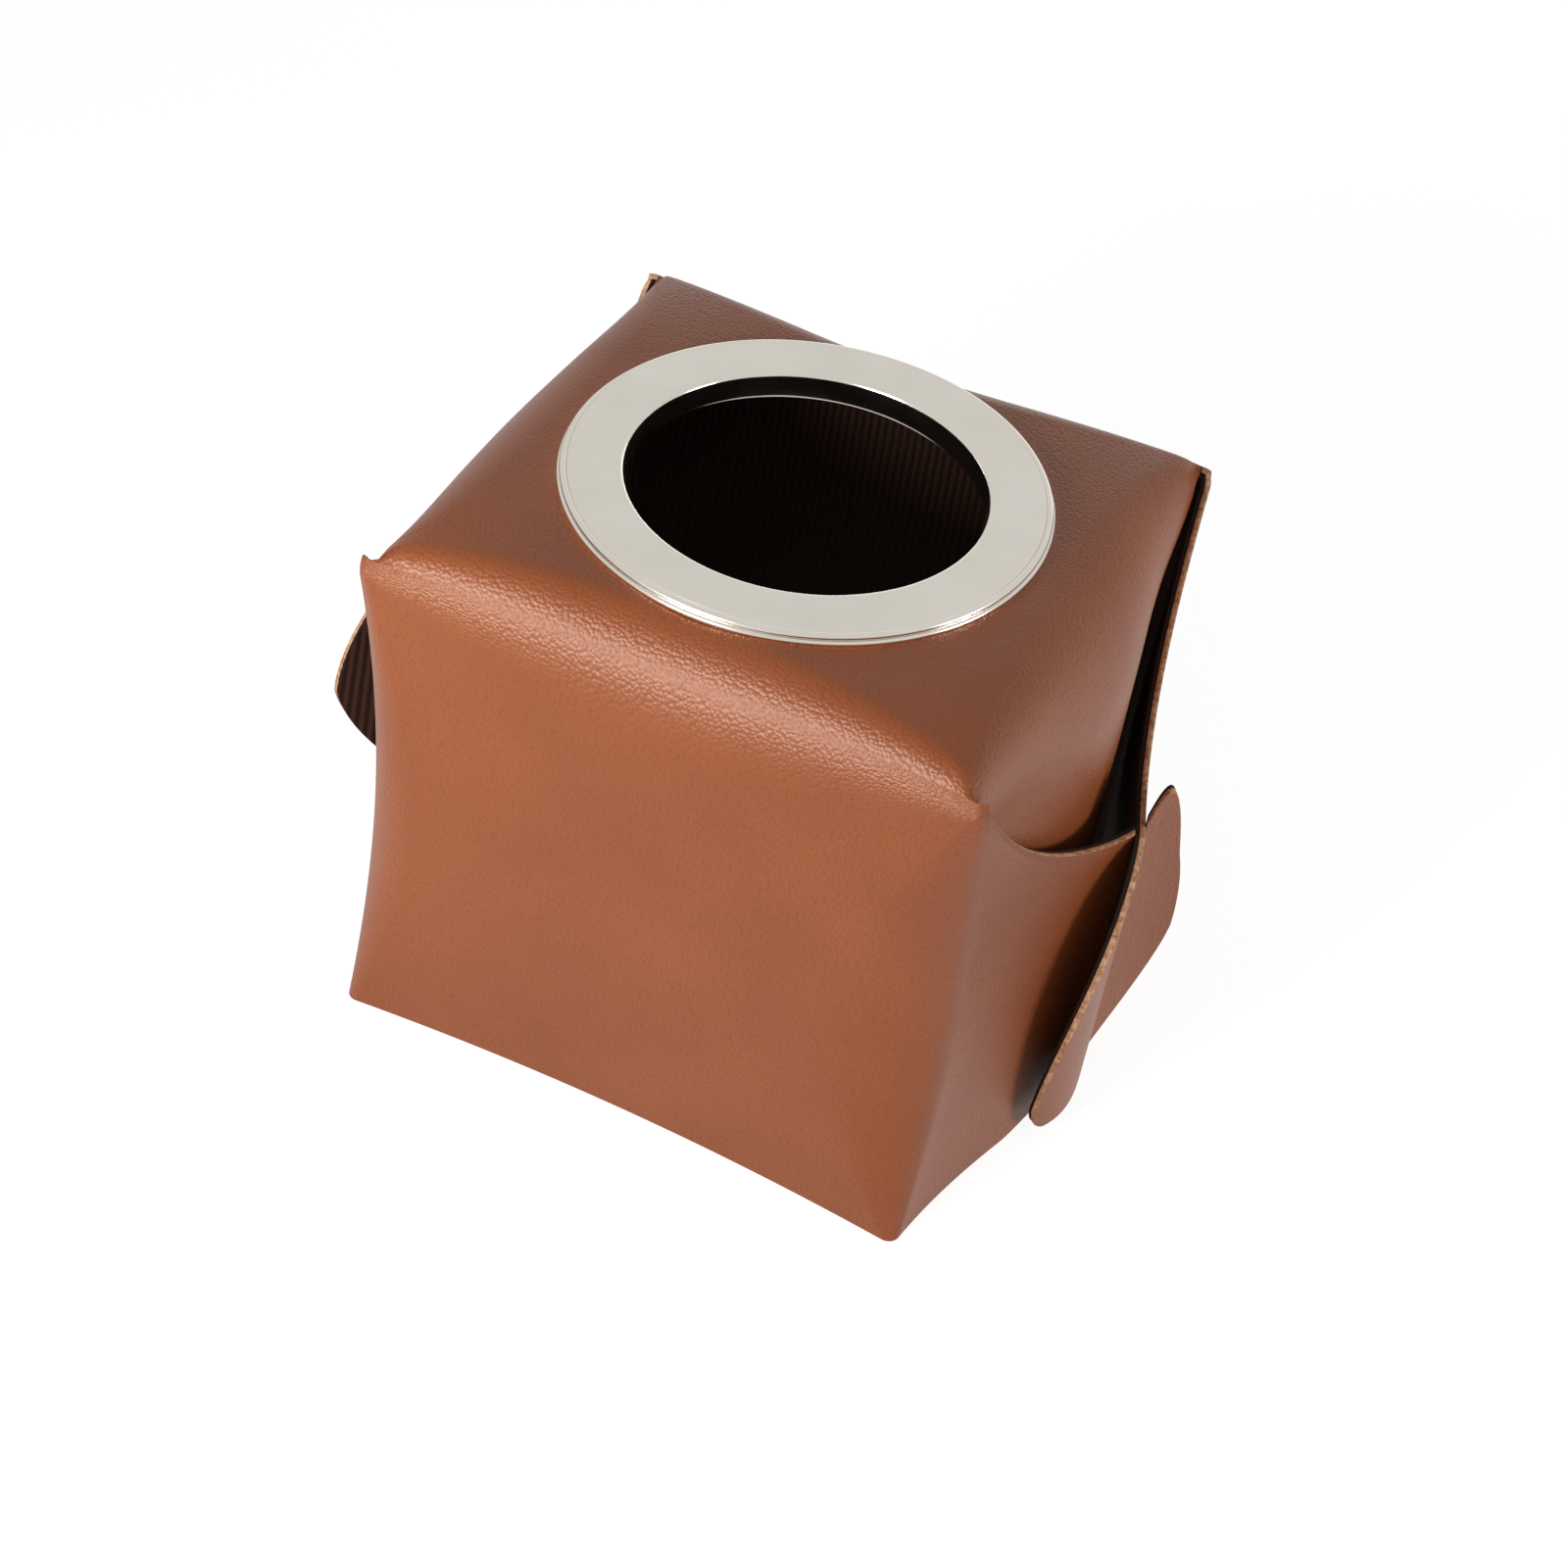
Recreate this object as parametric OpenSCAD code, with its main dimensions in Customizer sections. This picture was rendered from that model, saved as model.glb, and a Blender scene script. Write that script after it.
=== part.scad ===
// Folded leather cover for a cube box of tissues.
// One lined sheet makes the top, the front, the back, four wings and two flaps tucked in at
// the sides. The wings of each side cross in two slits, and end in round tabs outside them.
// A pressed metal ring is set round the hole in the top, over a backing ring.
// +X runs to the right along the front, +Y to the back and +Z up. The origin is on the
// table, in the middle of the cover.

/* [Cover] */
// Width between the outsides of the upright folds
cover_width = 134; // [126:1:144]
// Depth between the outsides of the front and the back
cover_depth = 125; // [120:1:134]
// Height of the four top corners
corner_height = 124; // [118:1:130]
// Rise of the flat top above its corners
crown_rise = 5; // [4:0.5:9]
// How far the sides stand out beyond the width where the wings cross
side_bulge = 16.4; // [15:0.1:18]

/* [Sheet] */
// Thickness of the face leather
leather_t = 1.2; // [1:0.1:1.3]
// Thickness of the ribbed lining glued behind the leather
lining_t = 0.8; // [0.6:0.1:0.9]
// How far the lining stops short of the lower edge
hem_setback = 1; // [0.6:0.1:2]

/* [Folds] */
// Outer bend radius at the corners of the front and the back
corner_bend_r = 3; // [2.8:0.1:3.4]
// Outer bend radius of the upright folds at half height
upright_bend_r = 15; // [12:0.5:18]
// Reach along the front or back of the two softer upright folds, at half height
soft_bend_reach = 26; // [18:0.5:28]
// How far the front and back rolls reach in over the top, at their middle
roll_reach = 15; // [12:0.5:16]
// How far the front and back rolls reach down, at their middle
roll_drop = 27; // [22:0.5:30]
// How far the side rolls reach in over the top, at their middle
side_roll_reach = 19; // [16:0.5:20]
// How far the side rolls reach down, at their middle
side_roll_drop = 30; // [26:0.5:31]
// Outer bend radius at the ends of the side rolls
side_corner_r = 2.6; // [2.4:0.1:3]
// Inward bow of the lower edge at the middle of the front and the back
hem_inset = 3.5; // [1:0.5:5]

/* [Wings and tabs] */
// Height of the wings' top edges where they cross
crossing_height = 78; // [74:1:82]
// Height at which the two slits of a crossing meet
lock_height = 45; // [42:1:48]
// Reach beyond the crossing of the upper tabs, whose slits open upward
upper_reach = 17.6; // [17:0.1:21]
// Height of an upper tab's farthest point
upper_height = 42; // [40:1:46]
// Extra rise of an upper tab's free ear
ear_rise = 9; // [5:0.5:11]
// Width of that ear along the tab
ear_reach = 14; // [12:0.5:17]
// Reach beyond the crossing of the lower tabs, whose slits open downward
lower_reach = 23; // [20:0.5:24]
// Height of a lower tab's farthest point
lower_height = 12; // [10:0.5:16]
// Height of a lower tab's lowest point
toe_height = 3.5; // [2:0.5:6]
// Rise of a lower tab's lower edge from there to the slit
heel_rise = 9; // [6:0.5:11]
// Radius of a lower tab's toe
toe_corner_r = 5; // [4:0.5:7]
// Distance before the crossing at which the lower edge starts to curve up
skirt_reach = 21; // [18:0.5:24]
// Room at each edge of a slit
slit_clearance = 0.8; // [0.7:0.05:1]
// Half of the gap along the line on which a tab flexes
hinge_gap = 0.5; // [0.45:0.01:0.6]

/* [Side flaps] */
// Height of the line on which a flap flexes
flap_line_height = 94; // [90:1:97]
// Half of a flap's width at that line
flap_half_width = 48; // [44:0.5:50]
// How much narrower each side of a flap gets towards its lower edge
flap_taper = 9; // [6:0.5:12]
// Length of a flap below its line
flap_length = 44; // [36:1:50]
// Radius of a flap's lower corners
flap_corner_r = 10; // [6:0.5:12]
// Bulge of the flaps at the middle of the sides
flap_bulge = 8; // [6:0.5:9]
// Room between the flaps and the wings at the corners
flap_clearance = 1.1; // [1:0.1:1.5]

/* [Ring] */
// Distance from the ring to the nearest outsides of the cover
ring_margin = 12.5; // [11.5:0.5:16]
// Width of the ring's flange, seen from above
flange_width = 13.5; // [12:0.5:16]
// Thickness of the ring's metal
ring_metal_t = 0.9; // [0.7:0.1:1]
// Height of the ring's flange above the leather
flange_height = 2.6; // [2.4:0.1:3]
// Rounding of the flange's outer edge
rim_edge_r = 2.2; // [1.8:0.1:2.3]
// Rounding of the flange's inner edge
mouth_edge_r = 1.2; // [1.1:0.1:1.5]
// How far the backing ring stays inside the ring's rim
backing_inset = 5.5; // [4.5:0.5:7]
// Thickness of the backing ring
backing_t = 1; // [1:0.1:2]
// Width of the collar's edge, turned out under the backing ring
lip_width = 2.4; // [2:0.1:3]
// Room between the collar and what it passes through
collar_clearance = 0.3; // [0.2:0.05:0.5]

/* [Hidden] */

half_width = cover_width / 2;
half_depth = cover_depth / 2;
ring_r = min(half_width, half_depth) - ring_margin;
opening_r = ring_r - flange_width;
backing_r = ring_r - backing_inset;
sheet_t = leather_t + lining_t;
top_height = corner_height + crown_rise;
side_start = half_width - sheet_t - flap_clearance;
collar_r = opening_r + ring_metal_t;
hole_r = collar_r + collar_clearance;
seat_r = ring_r - rim_edge_r;
overrun = sheet_t;

// Outward lean of a wing where it leaves the upright fold, if its tab is an upper or a lower
// one, and where it crosses the other wing
start_leans = [7, 16];
cross_lean = 20;
// How far the tabs turn from the crossing to their tips, outward if positive: an upper tab,
// and a lower tab at the table and at the height of the wings' crossing
upper_turn_angle = 12;
lower_turn_angle = -61;
lower_top_turn_angle = -16;
// Fullness of the lower edge's curve up to the upper tabs: 2 is an ellipse
skirt_power = 1.45;
// Sharpness of the curve of a lower tab's lower edge at its slit
heel_power = 4;
// The angle of a roll or fold that belongs to each of the two panels it joins
half_fold_angle = 45;

slit_half = sheet_t / 2 / tan(cross_lean) + slit_clearance;
pivot_shift = sheet_t / 2 * tan(cross_lean);
pivot_x = half_width + side_bulge - sheet_t / 2 / cos(cross_lean);

// Shares of a panel's width and height that lie between its folds
flat_run_share = 0.8;
upright_share = 0.64;
// Share of the wing's way from the fold to the crossing that is still in the fold
wing_fold_share = 0.25;
// Product of the two centre distances, as shares, up to which the top is flat
flat_top_share = 0.31;
// How much the bulge of the sides is gathered at their middle
bulge_power = 3;
// Rows and columns of the sheets, as shares of each panel
panel_column_shares = [-1, -0.933, -0.867, each [for (k = [-6:6]) flat_run_share * k / 6], 0.867, 0.933, 1];
panel_row_shares = [0, 0.1, 0.21, 0.35, 0.5, upright_share, 0.73, 0.82, 0.91, 1];
top_row_shares = [0, 0.2, 0.38, 0.55, 0.71, 0.87, 1];
wing_column_shares = [0, 0.08, 0.17, wing_fold_share, 0.4, 0.55, 0.68, 0.8, 0.88, 0.94, 1];
edge_shares = [0.2, 0.45, 0.72];
line_shares = [for (k = [-5:5]) k / 5];
tab_column_shares = [0, 0.17, 0.34, 0.5, 0.64, 0.77, 0.87, 0.94, 0.975, 0.995];
tab_row_shares = [for (k = [0:7]) k / 7];
flap_row_shares = [0, 0.4, 0.77, 0.86, 0.93, 0.98, 1];
edge_power = 0.6;
arc_steps = 6;

function mix(low, high, share) = low + (high - low) * share;
// 1 at the middle of an edge and 0 at both of its ends
function middle(share) = max(0, 1 - share * share);

// Height of the flat top before it rolls over, from the two centre distances as shares
function plate(u, v) = corner_height
    + crown_rise * (1 - pow(max(0, u * v - flat_top_share) / (1 - flat_top_share), 2));
// Reach and drop of the front and back rolls
function roll(u) = [mix(corner_bend_r, roll_reach, middle(u)), mix(corner_bend_r, roll_drop, middle(u))];
// Reach and drop of the side rolls
function side_roll(v) = [
    mix(side_corner_r, side_roll_reach, middle(v)), mix(side_corner_r, side_roll_drop, middle(v))
];
// Length of a quarter of an ellipse, near enough to lay out the rows of a roll
function quarter(radii) = PI / 4 * (radii[0] + radii[1]);
// Outside of the side flaps, from the front and back distance as a share
function side_x(v) = side_start + flap_bulge * pow(middle(v), bulge_power);
// Reach of an upright fold along the front and along the side, from the height as a share
function upright(h, soft) = let (m = middle(2 * min(1, h) - 1))
    [mix(corner_bend_r, soft ? soft_bend_reach : upright_bend_r, m), mix(corner_bend_r, upright_bend_r, m)];

// A point of the front panel, at a depth below the leather's face. Its right fold is soft.
function front_point(across, up, depth) = let (
    turn = half_fold_angle * max(0, abs(across) - flat_run_share) / (1 - flat_run_share),
    tilt = half_fold_angle * max(0, up - upright_share) / (1 - upright_share),
    fold = upright(up / upright_share, across > 0),
    x = min(1, abs(across) / flat_run_share) * (half_width - fold[0]) + (fold[0] - depth) * sin(turn),
    u = x / half_width,
    radii = roll(u),
    bow = hem_inset * middle(u) * pow(1 - up, 2),
    y = -half_depth + depth + bow + (fold[1] - depth) * (1 - cos(turn)) + (radii[0] - depth) * (1 - cos(tilt)),
    z = min(1, up / upright_share) * (plate(u, 1) - radii[1]) + (radii[1] - depth) * sin(tilt)
) [sign(across) * x, y, z];

// A point of the top, from its place on the sheet before the side and front rolls are made
function top_point(run, depth) = let (
    u = min(1, abs(run[0]) / half_width),
    v = min(1, abs(run[1]) / half_depth),
    front = roll(u),
    side = side_roll(v),
    x_flat = side_x(v) - side[0],
    y_flat = half_depth - front[0],
    x_over = max(0, abs(run[0]) - x_flat),
    y_over = max(0, abs(run[1]) - y_flat),
    x_turn = 90 * min(1, x_over / quarter(side)),
    y_turn = 90 * min(1, y_over / quarter(front)),
    x = min(abs(run[0]), x_flat) + (side[0] - depth) * sin(x_turn),
    y = min(abs(run[1]), y_flat) + (front[0] - depth) * sin(y_turn),
    x_fall = (side[1] - depth) * (1 - cos(x_turn)) + max(0, x_over - quarter(side)),
    y_fall = (front[1] - depth) * (1 - cos(y_turn))
) [sign(run[0]) * x, sign(run[1]) * y, plate(u, v) - depth - x_fall - y_fall];

// Place on the sheet of the line on which a flap flexes
function flap_line_run(y) = let (v = abs(y) / half_depth, side = side_roll(v))
    side_x(v) - side[0] + quarter(side) + plate(1, v) - side[1] - flap_line_height - hinge_gap;

// The edge of the top on its way from the front's right corner to the middle of the right side
function side_edge() = let (
    start = [half_width - corner_bend_r, -half_depth + corner_bend_r / 2],
    end = [flap_line_run(flap_half_width), -flap_half_width]
) [for (s = edge_shares) [mix(start[0], end[0], s), mix(start[1], end[1], pow(s, edge_power))]];

// The whole edge of the top, round from the left end of the front roll. The points of the
// front and back rolls are those of the panels that they join, and are marked by the panel.
function top_edge() = let (
    ridge = [for (p = panel_column_shares) if (abs(p) <= flat_run_share + 0.001) p],
    right = [
        each side_edge(),
        each [for (s = line_shares) [flap_line_run(s * flap_half_width), s * flap_half_width]],
        each [for (k = [len(edge_shares) - 1:-1:0]) [side_edge()[k][0], -side_edge()[k][1]]]
    ]
) [
    each [for (p = ridge) [p, -1, true]],
    each [for (q = right) [q[0], q[1], false]],
    each [for (p = ridge) [-p, 1, true]],
    each [for (q = right) [-q[0], -q[1], false]]
];

function ridge_point(p, side, depth) = let (q = front_point(p, 1, depth)) [q[0], -side * q[1], q[2]];
function ridge_run(p, side) = let (
    x = p / flat_run_share * (half_width - corner_bend_r),
    radii = roll(abs(x) / half_width)
) [x, side * (half_depth - radii[0] + quarter(radii) / 2)];

// Rows run from the hole to the seat of the ring's rim, and from there to the top's edge
function top_grid(depth) = [for (s = [-1, each top_row_shares]) [for (e = top_edge()) let (
    edge = e[2] ? ridge_run(e[0], e[1]) : [e[0], e[1]],
    out = edge / norm(edge)
) s == 1 && e[2]
    ? ridge_point(e[0], e[1], depth)
    : top_point(s < 0 ? hole_r * out : mix(seat_r * out, edge, s), depth)]];

// Rows of a layer. The leather has one more than the lining, below the lining's lowest row.
function layer_rows(hemmed) = [if (hemmed) -1, each panel_row_shares];
function front_grid(depth, hemmed) = [for (q = layer_rows(hemmed)) [for (p = panel_column_shares)
    let (point = front_point(p, max(0, q), depth)) q == 0 ? point + [0, 0, hem_setback] : point]];

// Plan of a wing, upper if its tab is an upper one: its place and direction at a share of its
// way to the crossing
function wing_path(way, height, upper) = let (
    start_lean = start_leans[upper ? 0 : 1],
    fold = upright(height / (corner_height - corner_bend_r), upper),
    centre = [half_width - fold[0], -half_depth + fold[1]],
    last_turn = atan2(fold[0], fold[1] * tan(start_lean)),
    turn = mix(half_fold_angle, last_turn, min(1, way / wing_fold_share)),
    bend_slope = [fold[0] * cos(turn), fold[1] * sin(turn)],
    fold_end = centre + [fold[0] * sin(last_turn), -fold[1] * cos(last_turn)],
    crossing = [half_width + side_bulge, 0],
    run = norm(crossing - fold_end),
    lead_in = run * [sin(start_lean), cos(start_lean)],
    lead_out = run * [sin(cross_lean), cos(cross_lean)],
    t = max(0, way - wing_fold_share) / (1 - wing_fold_share),
    t2 = t * t,
    t3 = t2 * t,
    curve = (2 * t3 - 3 * t2 + 1) * fold_end + (t3 - 2 * t2 + t) * lead_in
        + (3 * t2 - 2 * t3) * crossing + (t3 - t2) * lead_out,
    slope = (6 * t2 - 6 * t) * (fold_end - crossing) + (3 * t2 - 4 * t + 1) * lead_in
        + (3 * t2 - 2 * t) * lead_out
) way <= wing_fold_share
    ? [centre + [fold[0] * sin(turn), -fold[1] * cos(turn)], bend_slope / norm(bend_slope), run]
    : [curve, slope / norm(slope), run];
function wing_place(way, height, upper, depth) = let (plan = wing_path(way, height, upper))
    plan[0] + depth * [-plan[1][1], plan[1][0]];
// The front panel's last point before a wing, put on the right
function fold_point(upper, up, depth) = let (point = front_point(upper ? 1 : -1, up, depth))
    [abs(point[0]), point[1], point[2]];

// The lower edge of a wing and its tab, from the distance beyond the crossing
function skirt(s) = let (t = max(0, s + skirt_reach) / (skirt_reach + upper_reach))
    upper_height * (1 - pow(1 - pow(t, skirt_power), 1 / skirt_power));
// The scooped top edge of a wing, from a height near it at which the distance behind the
// front is taken
function scoop(way, height, upper) = let (behind = wing_path(way, height, upper)[0][1] + half_depth)
    mix(crossing_height, corner_height - corner_bend_r / 3, pow(1 - behind / half_depth, 2));

// What the panel's end differs by from the wing's plan fades out over the fold
function wing_grid(depth, hemmed, upper) = [for (q = layer_rows(hemmed)) [for (w = wing_column_shares) let (
    run = wing_path(1, lock_height, upper)[2],
    way = min(w, 1 - (hinge_gap + pivot_shift) * (1 - wing_fold_share) / run),
    beyond = (way - 1) / (1 - wing_fold_share) * run,
    fold = fold_point(upper, max(0, q), depth),
    rise = fold_point(upper, max(0, q), 0)[2] / fold_point(upper, 1, 0)[2],
    low = skirt(beyond),
    high = scoop(way, scoop(way, corner_height, upper), upper),
    z = q < 0 ? low : mix(low + hem_setback, high, rise),
    shift = [fold[0], fold[1]] - wing_place(0, z, upper, depth),
    fade = max(0, 1 - way / wing_fold_share)
) w == 0
    ? (q == 0 ? fold + [0, 0, hem_setback] : fold)
    : [each (wing_place(way, z, upper, depth) + fade * shift), z]]];

function half_round(t) = sqrt(max(0, 1 - t * t));
function ear(s) = s < ear_reach ? ear_rise * sin(180 * s / ear_reach) : 0;
// Lower and upper edge of an upper tab, and of a lower tab
function upper_edges(s) = [skirt(s), mix(upper_height, crossing_height, half_round(s / upper_reach)) + ear(s)];
function lower_edges(s) = [
    toe_height + heel_rise * pow(1 - s / lower_reach, heel_power) + (lower_height - toe_height)
        * (1 - half_round(max(0, s - lower_reach + toe_corner_r) / toe_corner_r)),
    mix(lower_height, crossing_height, half_round(s / lower_reach))
];

// Plan of a tab: an arc that starts along the wing's last direction
function tab_path(s, reach, turn, depth) = let (
    lean = cross_lean + turn * s / reach,
    arc_r = reach / (turn * PI / 180)
) [half_width + side_bulge, 0] + arc_r * [cos(cross_lean) - cos(lean), sin(lean) - sin(cross_lean)]
    + depth * [-cos(lean), sin(lean)];

function tab_grid(upper, depth) = [for (q = tab_row_shares) [for (share = tab_column_shares) let (
    reach = upper ? upper_reach : lower_reach,
    s = mix(hinge_gap - pivot_shift, reach, share),
    edges = upper ? upper_edges(s) : lower_edges(s),
    z = mix(edges[0], edges[1], q),
    turn = upper ? upper_turn_angle : mix(lower_turn_angle, lower_top_turn_angle, z / crossing_height)
) [each tab_path(s, reach, turn, depth), z]]];

function flap_grid(depth) = [for (q = flap_row_shares) [for (s = line_shares) let (
    fall = mix(hinge_gap, flap_length, q),
    corner = max(0, fall - flap_length + flap_corner_r) / flap_corner_r,
    y = s * (flap_half_width - flap_taper * q - flap_corner_r * (1 - sqrt(1 - corner * corner)) * 0.9)
) [side_x(abs(y) / half_depth) - depth, y, flap_line_height - fall]]];

// A closed sheet between two like grids of points. Each cell is halved along the shorter
// diagonal of a third grid, which is the leather's face, so that layers glued together are
// halved alike. A looped sheet runs round a hole.
module sheet(outer, inner, guide, looped = false) {
    rows = len(outer);
    cols = len(outer[0]);
    count = rows * cols;
    last = looped ? cols - 1 : cols - 2;
    function at(r, c) = r * cols + c % cols;
    function span(r, c, d) = norm(guide[r][c % cols] - guide[r + 1][d % cols]);
    skin = [for (r = [0:rows - 2]) for (c = [0:last])
        each span(r, c, c + 1) < span(r, c + 1, c)
            ? [[at(r, c), at(r + 1, c), at(r + 1, c + 1)], [at(r, c), at(r + 1, c + 1), at(r, c + 1)]]
            : [[at(r, c), at(r + 1, c), at(r, c + 1)], [at(r, c + 1), at(r + 1, c), at(r + 1, c + 1)]]];
    back = [for (f = skin) [f[2] + count, f[1] + count, f[0] + count]];
    lower = [for (c = [0:last]) [at(0, c), at(0, c + 1)]];
    upper = [for (c = [0:last]) [at(rows - 1, c + 1), at(rows - 1, c)]];
    ends = looped ? [] : [for (r = [0:rows - 2])
        each [[at(r + 1, 0), at(r, 0)], [at(r, cols - 1), at(r + 1, cols - 1)]]];
    rim = [for (e = concat(lower, upper, ends))
        each [[e[0], e[1], e[1] + count], [e[0], e[1] + count, e[0] + count]]];
    polyhedron([for (grid = [outer, inner]) for (row = grid) each row], concat(skin, back, rim));
}

// The layers of the sheet: 0 is the leather and 1 the lining
function layer(n) = n == 0 ? [0, leather_t] : [leather_t, sheet_t];
module finish(n) {
    color(n == 0 ? [0.61, 0.36, 0.24] : [0.24, 0.15, 0.11]) children();
}
// Puts a shape made at the front right in the place of its mirror image
module turned(right, front) {
    mirror([right ? 0 : 1, 0, 0]) mirror([0, front ? 0 : 1, 0]) children();
}

module top_layer(n) {
    finish(n) sheet(top_grid(layer(n)[0]), top_grid(layer(n)[1]), top_grid(0), looped = true);
}

// The back is the front after a half turn
module panel(n, front) {
    hemmed = n == 0;
    finish(n) turned(front, front)
        sheet(front_grid(layer(n)[0], hemmed), front_grid(layer(n)[1], hemmed), front_grid(0, hemmed));
}

// The slit in a wing and its tab, opening upward or downward
module slit(slit_up) {
    low = slit_up ? lock_height - slit_clearance : -overrun;
    high = slit_up ? top_height : lock_height + slit_clearance;
    translate([pivot_x, 0, low]) rotate(-cross_lean)
        translate([-upper_reach / 2, -slit_half, 0]) cube([upper_reach, 2 * slit_half, high - low]);
}

// A half turn swaps the two sides: the front wing on the right and the back wing on the left
// have slits that open upward, and upper tabs
module wing(n, right, front) {
    hemmed = n == 0;
    upper = right == front;
    finish(n) turned(right, front) difference() {
        sheet(wing_grid(layer(n)[0], hemmed, upper), wing_grid(layer(n)[1], hemmed, upper),
            wing_grid(0, hemmed, upper));
        slit(upper);
    }
}

module tab(n, right, front) {
    upper = right == front;
    finish(n) turned(right, front) difference() {
        sheet(tab_grid(upper, layer(n)[0]), tab_grid(upper, layer(n)[1]), tab_grid(upper, 0));
        slit(upper);
    }
}

module flap(n, right) {
    finish(n) turned(right, true) sheet(flap_grid(layer(n)[1]), flap_grid(layer(n)[0]), flap_grid(0));
}

function arc(centre, r, from, to) = [for (k = [0:arc_steps])
    centre + r * [cos(mix(from, to, k / arc_steps)), sin(mix(from, to, k / arc_steps))]];

// The ring's section: flange, collar, and the edge turned out under the backing ring
module ring() {
    face = top_height + flange_height;
    seat = top_height - sheet_t - backing_t;
    foot = seat - ring_metal_t;
    lip_r = collar_r + lip_width;
    color([0.8, 0.78, 0.75]) rotate_extrude($fn = 120) polygon([
        each arc([opening_r + mouth_edge_r, face - mouth_edge_r], mouth_edge_r, 180, 90),
        each arc([ring_r - rim_edge_r, face - rim_edge_r], rim_edge_r, 90, 0),
        [ring_r, top_height],
        [ring_r - ring_metal_t, top_height],
        each arc([ring_r - rim_edge_r, face - rim_edge_r], rim_edge_r - ring_metal_t, 0, 90),
        [collar_r + ring_metal_t, face - ring_metal_t],
        [collar_r, face - ring_metal_t - ring_metal_t],
        [collar_r, seat],
        [lip_r - ring_metal_t / 2, seat],
        each arc([lip_r - ring_metal_t / 2, seat - ring_metal_t / 2], ring_metal_t / 2, 90, -90),
        each arc([opening_r + ring_metal_t, foot + ring_metal_t], ring_metal_t, 270, 180)
    ]);
}

module backing_ring() {
    seat = top_height - sheet_t - backing_t;
    color([0.7, 0.7, 0.7]) translate([0, 0, seat]) difference() {
        cylinder(r = backing_r, h = backing_t, $fn = 120);
        translate([0, 0, -overrun])
            cylinder(r = collar_r + collar_clearance, h = backing_t + 2 * overrun, $fn = 120);
    }
}

top_layer(0);  // top_leather
top_layer(1);  // top_lining
panel(0, true);  // front_leather
panel(1, true);  // front_lining
panel(0, false);  // back_leather
panel(1, false);  // back_lining
wing(0, true, true);  // front_right_wing
wing(1, true, true);  // front_right_wing_lining
wing(0, false, true);  // front_left_wing
wing(1, false, true);  // front_left_wing_lining
wing(0, true, false);  // back_right_wing
wing(1, true, false);  // back_right_wing_lining
wing(0, false, false);  // back_left_wing
wing(1, false, false);  // back_left_wing_lining
tab(0, true, true);  // front_right_tab
tab(1, true, true);  // front_right_tab_lining
tab(0, false, true);  // front_left_tab
tab(1, false, true);  // front_left_tab_lining
tab(0, true, false);  // back_right_tab
tab(1, true, false);  // back_right_tab_lining
tab(0, false, false);  // back_left_tab
tab(1, false, false);  // back_left_tab_lining
flap(0, true);  // right_flap
flap(1, true);  // right_flap_lining
flap(0, false);  // left_flap
flap(1, false);  // left_flap_lining
ring();
backing_ring();
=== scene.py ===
"""Looks of a folded leather tissue box cover with a metal ring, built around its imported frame.

The shapes repeat the sizes of the part's source, in millimetres, and are turned into metres
when a mesh is made. The sheet is worked out as one continuous piece and is then cut into the
parts that move, so that the leather runs on over every fold and every line of flexing.
"""
from __future__ import annotations

import logging
import math
import sys
from collections import Counter
from dataclasses import dataclass, field
from enum import Enum
from functools import partial
from typing import Callable, Sequence

import bpy
from mathutils import Matrix, Vector

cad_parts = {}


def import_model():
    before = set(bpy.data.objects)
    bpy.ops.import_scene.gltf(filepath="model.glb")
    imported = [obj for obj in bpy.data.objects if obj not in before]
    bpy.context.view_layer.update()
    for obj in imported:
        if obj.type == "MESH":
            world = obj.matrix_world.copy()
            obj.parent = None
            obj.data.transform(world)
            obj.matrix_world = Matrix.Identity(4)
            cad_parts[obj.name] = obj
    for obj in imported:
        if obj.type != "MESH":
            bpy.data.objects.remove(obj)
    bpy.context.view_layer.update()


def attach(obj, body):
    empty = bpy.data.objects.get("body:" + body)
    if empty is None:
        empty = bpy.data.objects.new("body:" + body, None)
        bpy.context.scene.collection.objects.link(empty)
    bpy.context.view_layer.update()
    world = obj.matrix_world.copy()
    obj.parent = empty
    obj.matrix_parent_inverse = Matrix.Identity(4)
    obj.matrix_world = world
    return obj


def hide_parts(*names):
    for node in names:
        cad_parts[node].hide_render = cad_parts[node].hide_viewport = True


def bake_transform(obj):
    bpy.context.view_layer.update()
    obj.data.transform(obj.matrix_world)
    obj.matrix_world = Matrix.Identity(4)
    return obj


LOG = logging.getLogger("tissue_cover")
MM = 0.001
NO_LENGTH, NO_AREA = 1e-9, 1e-12
NOISE_SPAN = (0.3, 0.7)
Place = tuple[float, float]
Point = tuple[float, float, float]
Colour = tuple[float, float, float, float]
Key = tuple
Node = bpy.types.Node
Socket = bpy.types.NodeSocket


def mix(low: float, high: float, share: float) -> float:
    """Returns the value at a share of the way from low to high."""
    return low + (high - low) * share


def middle(share: float) -> float:
    """Returns 1 at the middle of an edge, where the share is 0, and 0 at both of its ends."""
    return max(0.0, 1.0 - share * share)


def smooth(share: float) -> float:
    """Returns a soft step of a share that is held between 0 and 1."""
    t = min(1.0, max(0.0, share))
    return t * t * (3.0 - 2.0 * t)


def arch(share: float) -> float:
    """Returns the height of a quarter circle, which is 1 at share 0 and 0 from share 1 on."""
    return math.sqrt(max(0.0, 1 - share * share))


def past(share: float, start: float) -> float:
    """Returns how far a share lies past a start, as a share of the rest."""
    return max(0.0, share - start) / (1 - start)


def spread(low: float, high: float, steps: int) -> list[float]:
    """Returns steps + 1 even values from low to high."""
    return [mix(low, high, k / steps) for k in range(steps + 1)]


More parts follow.
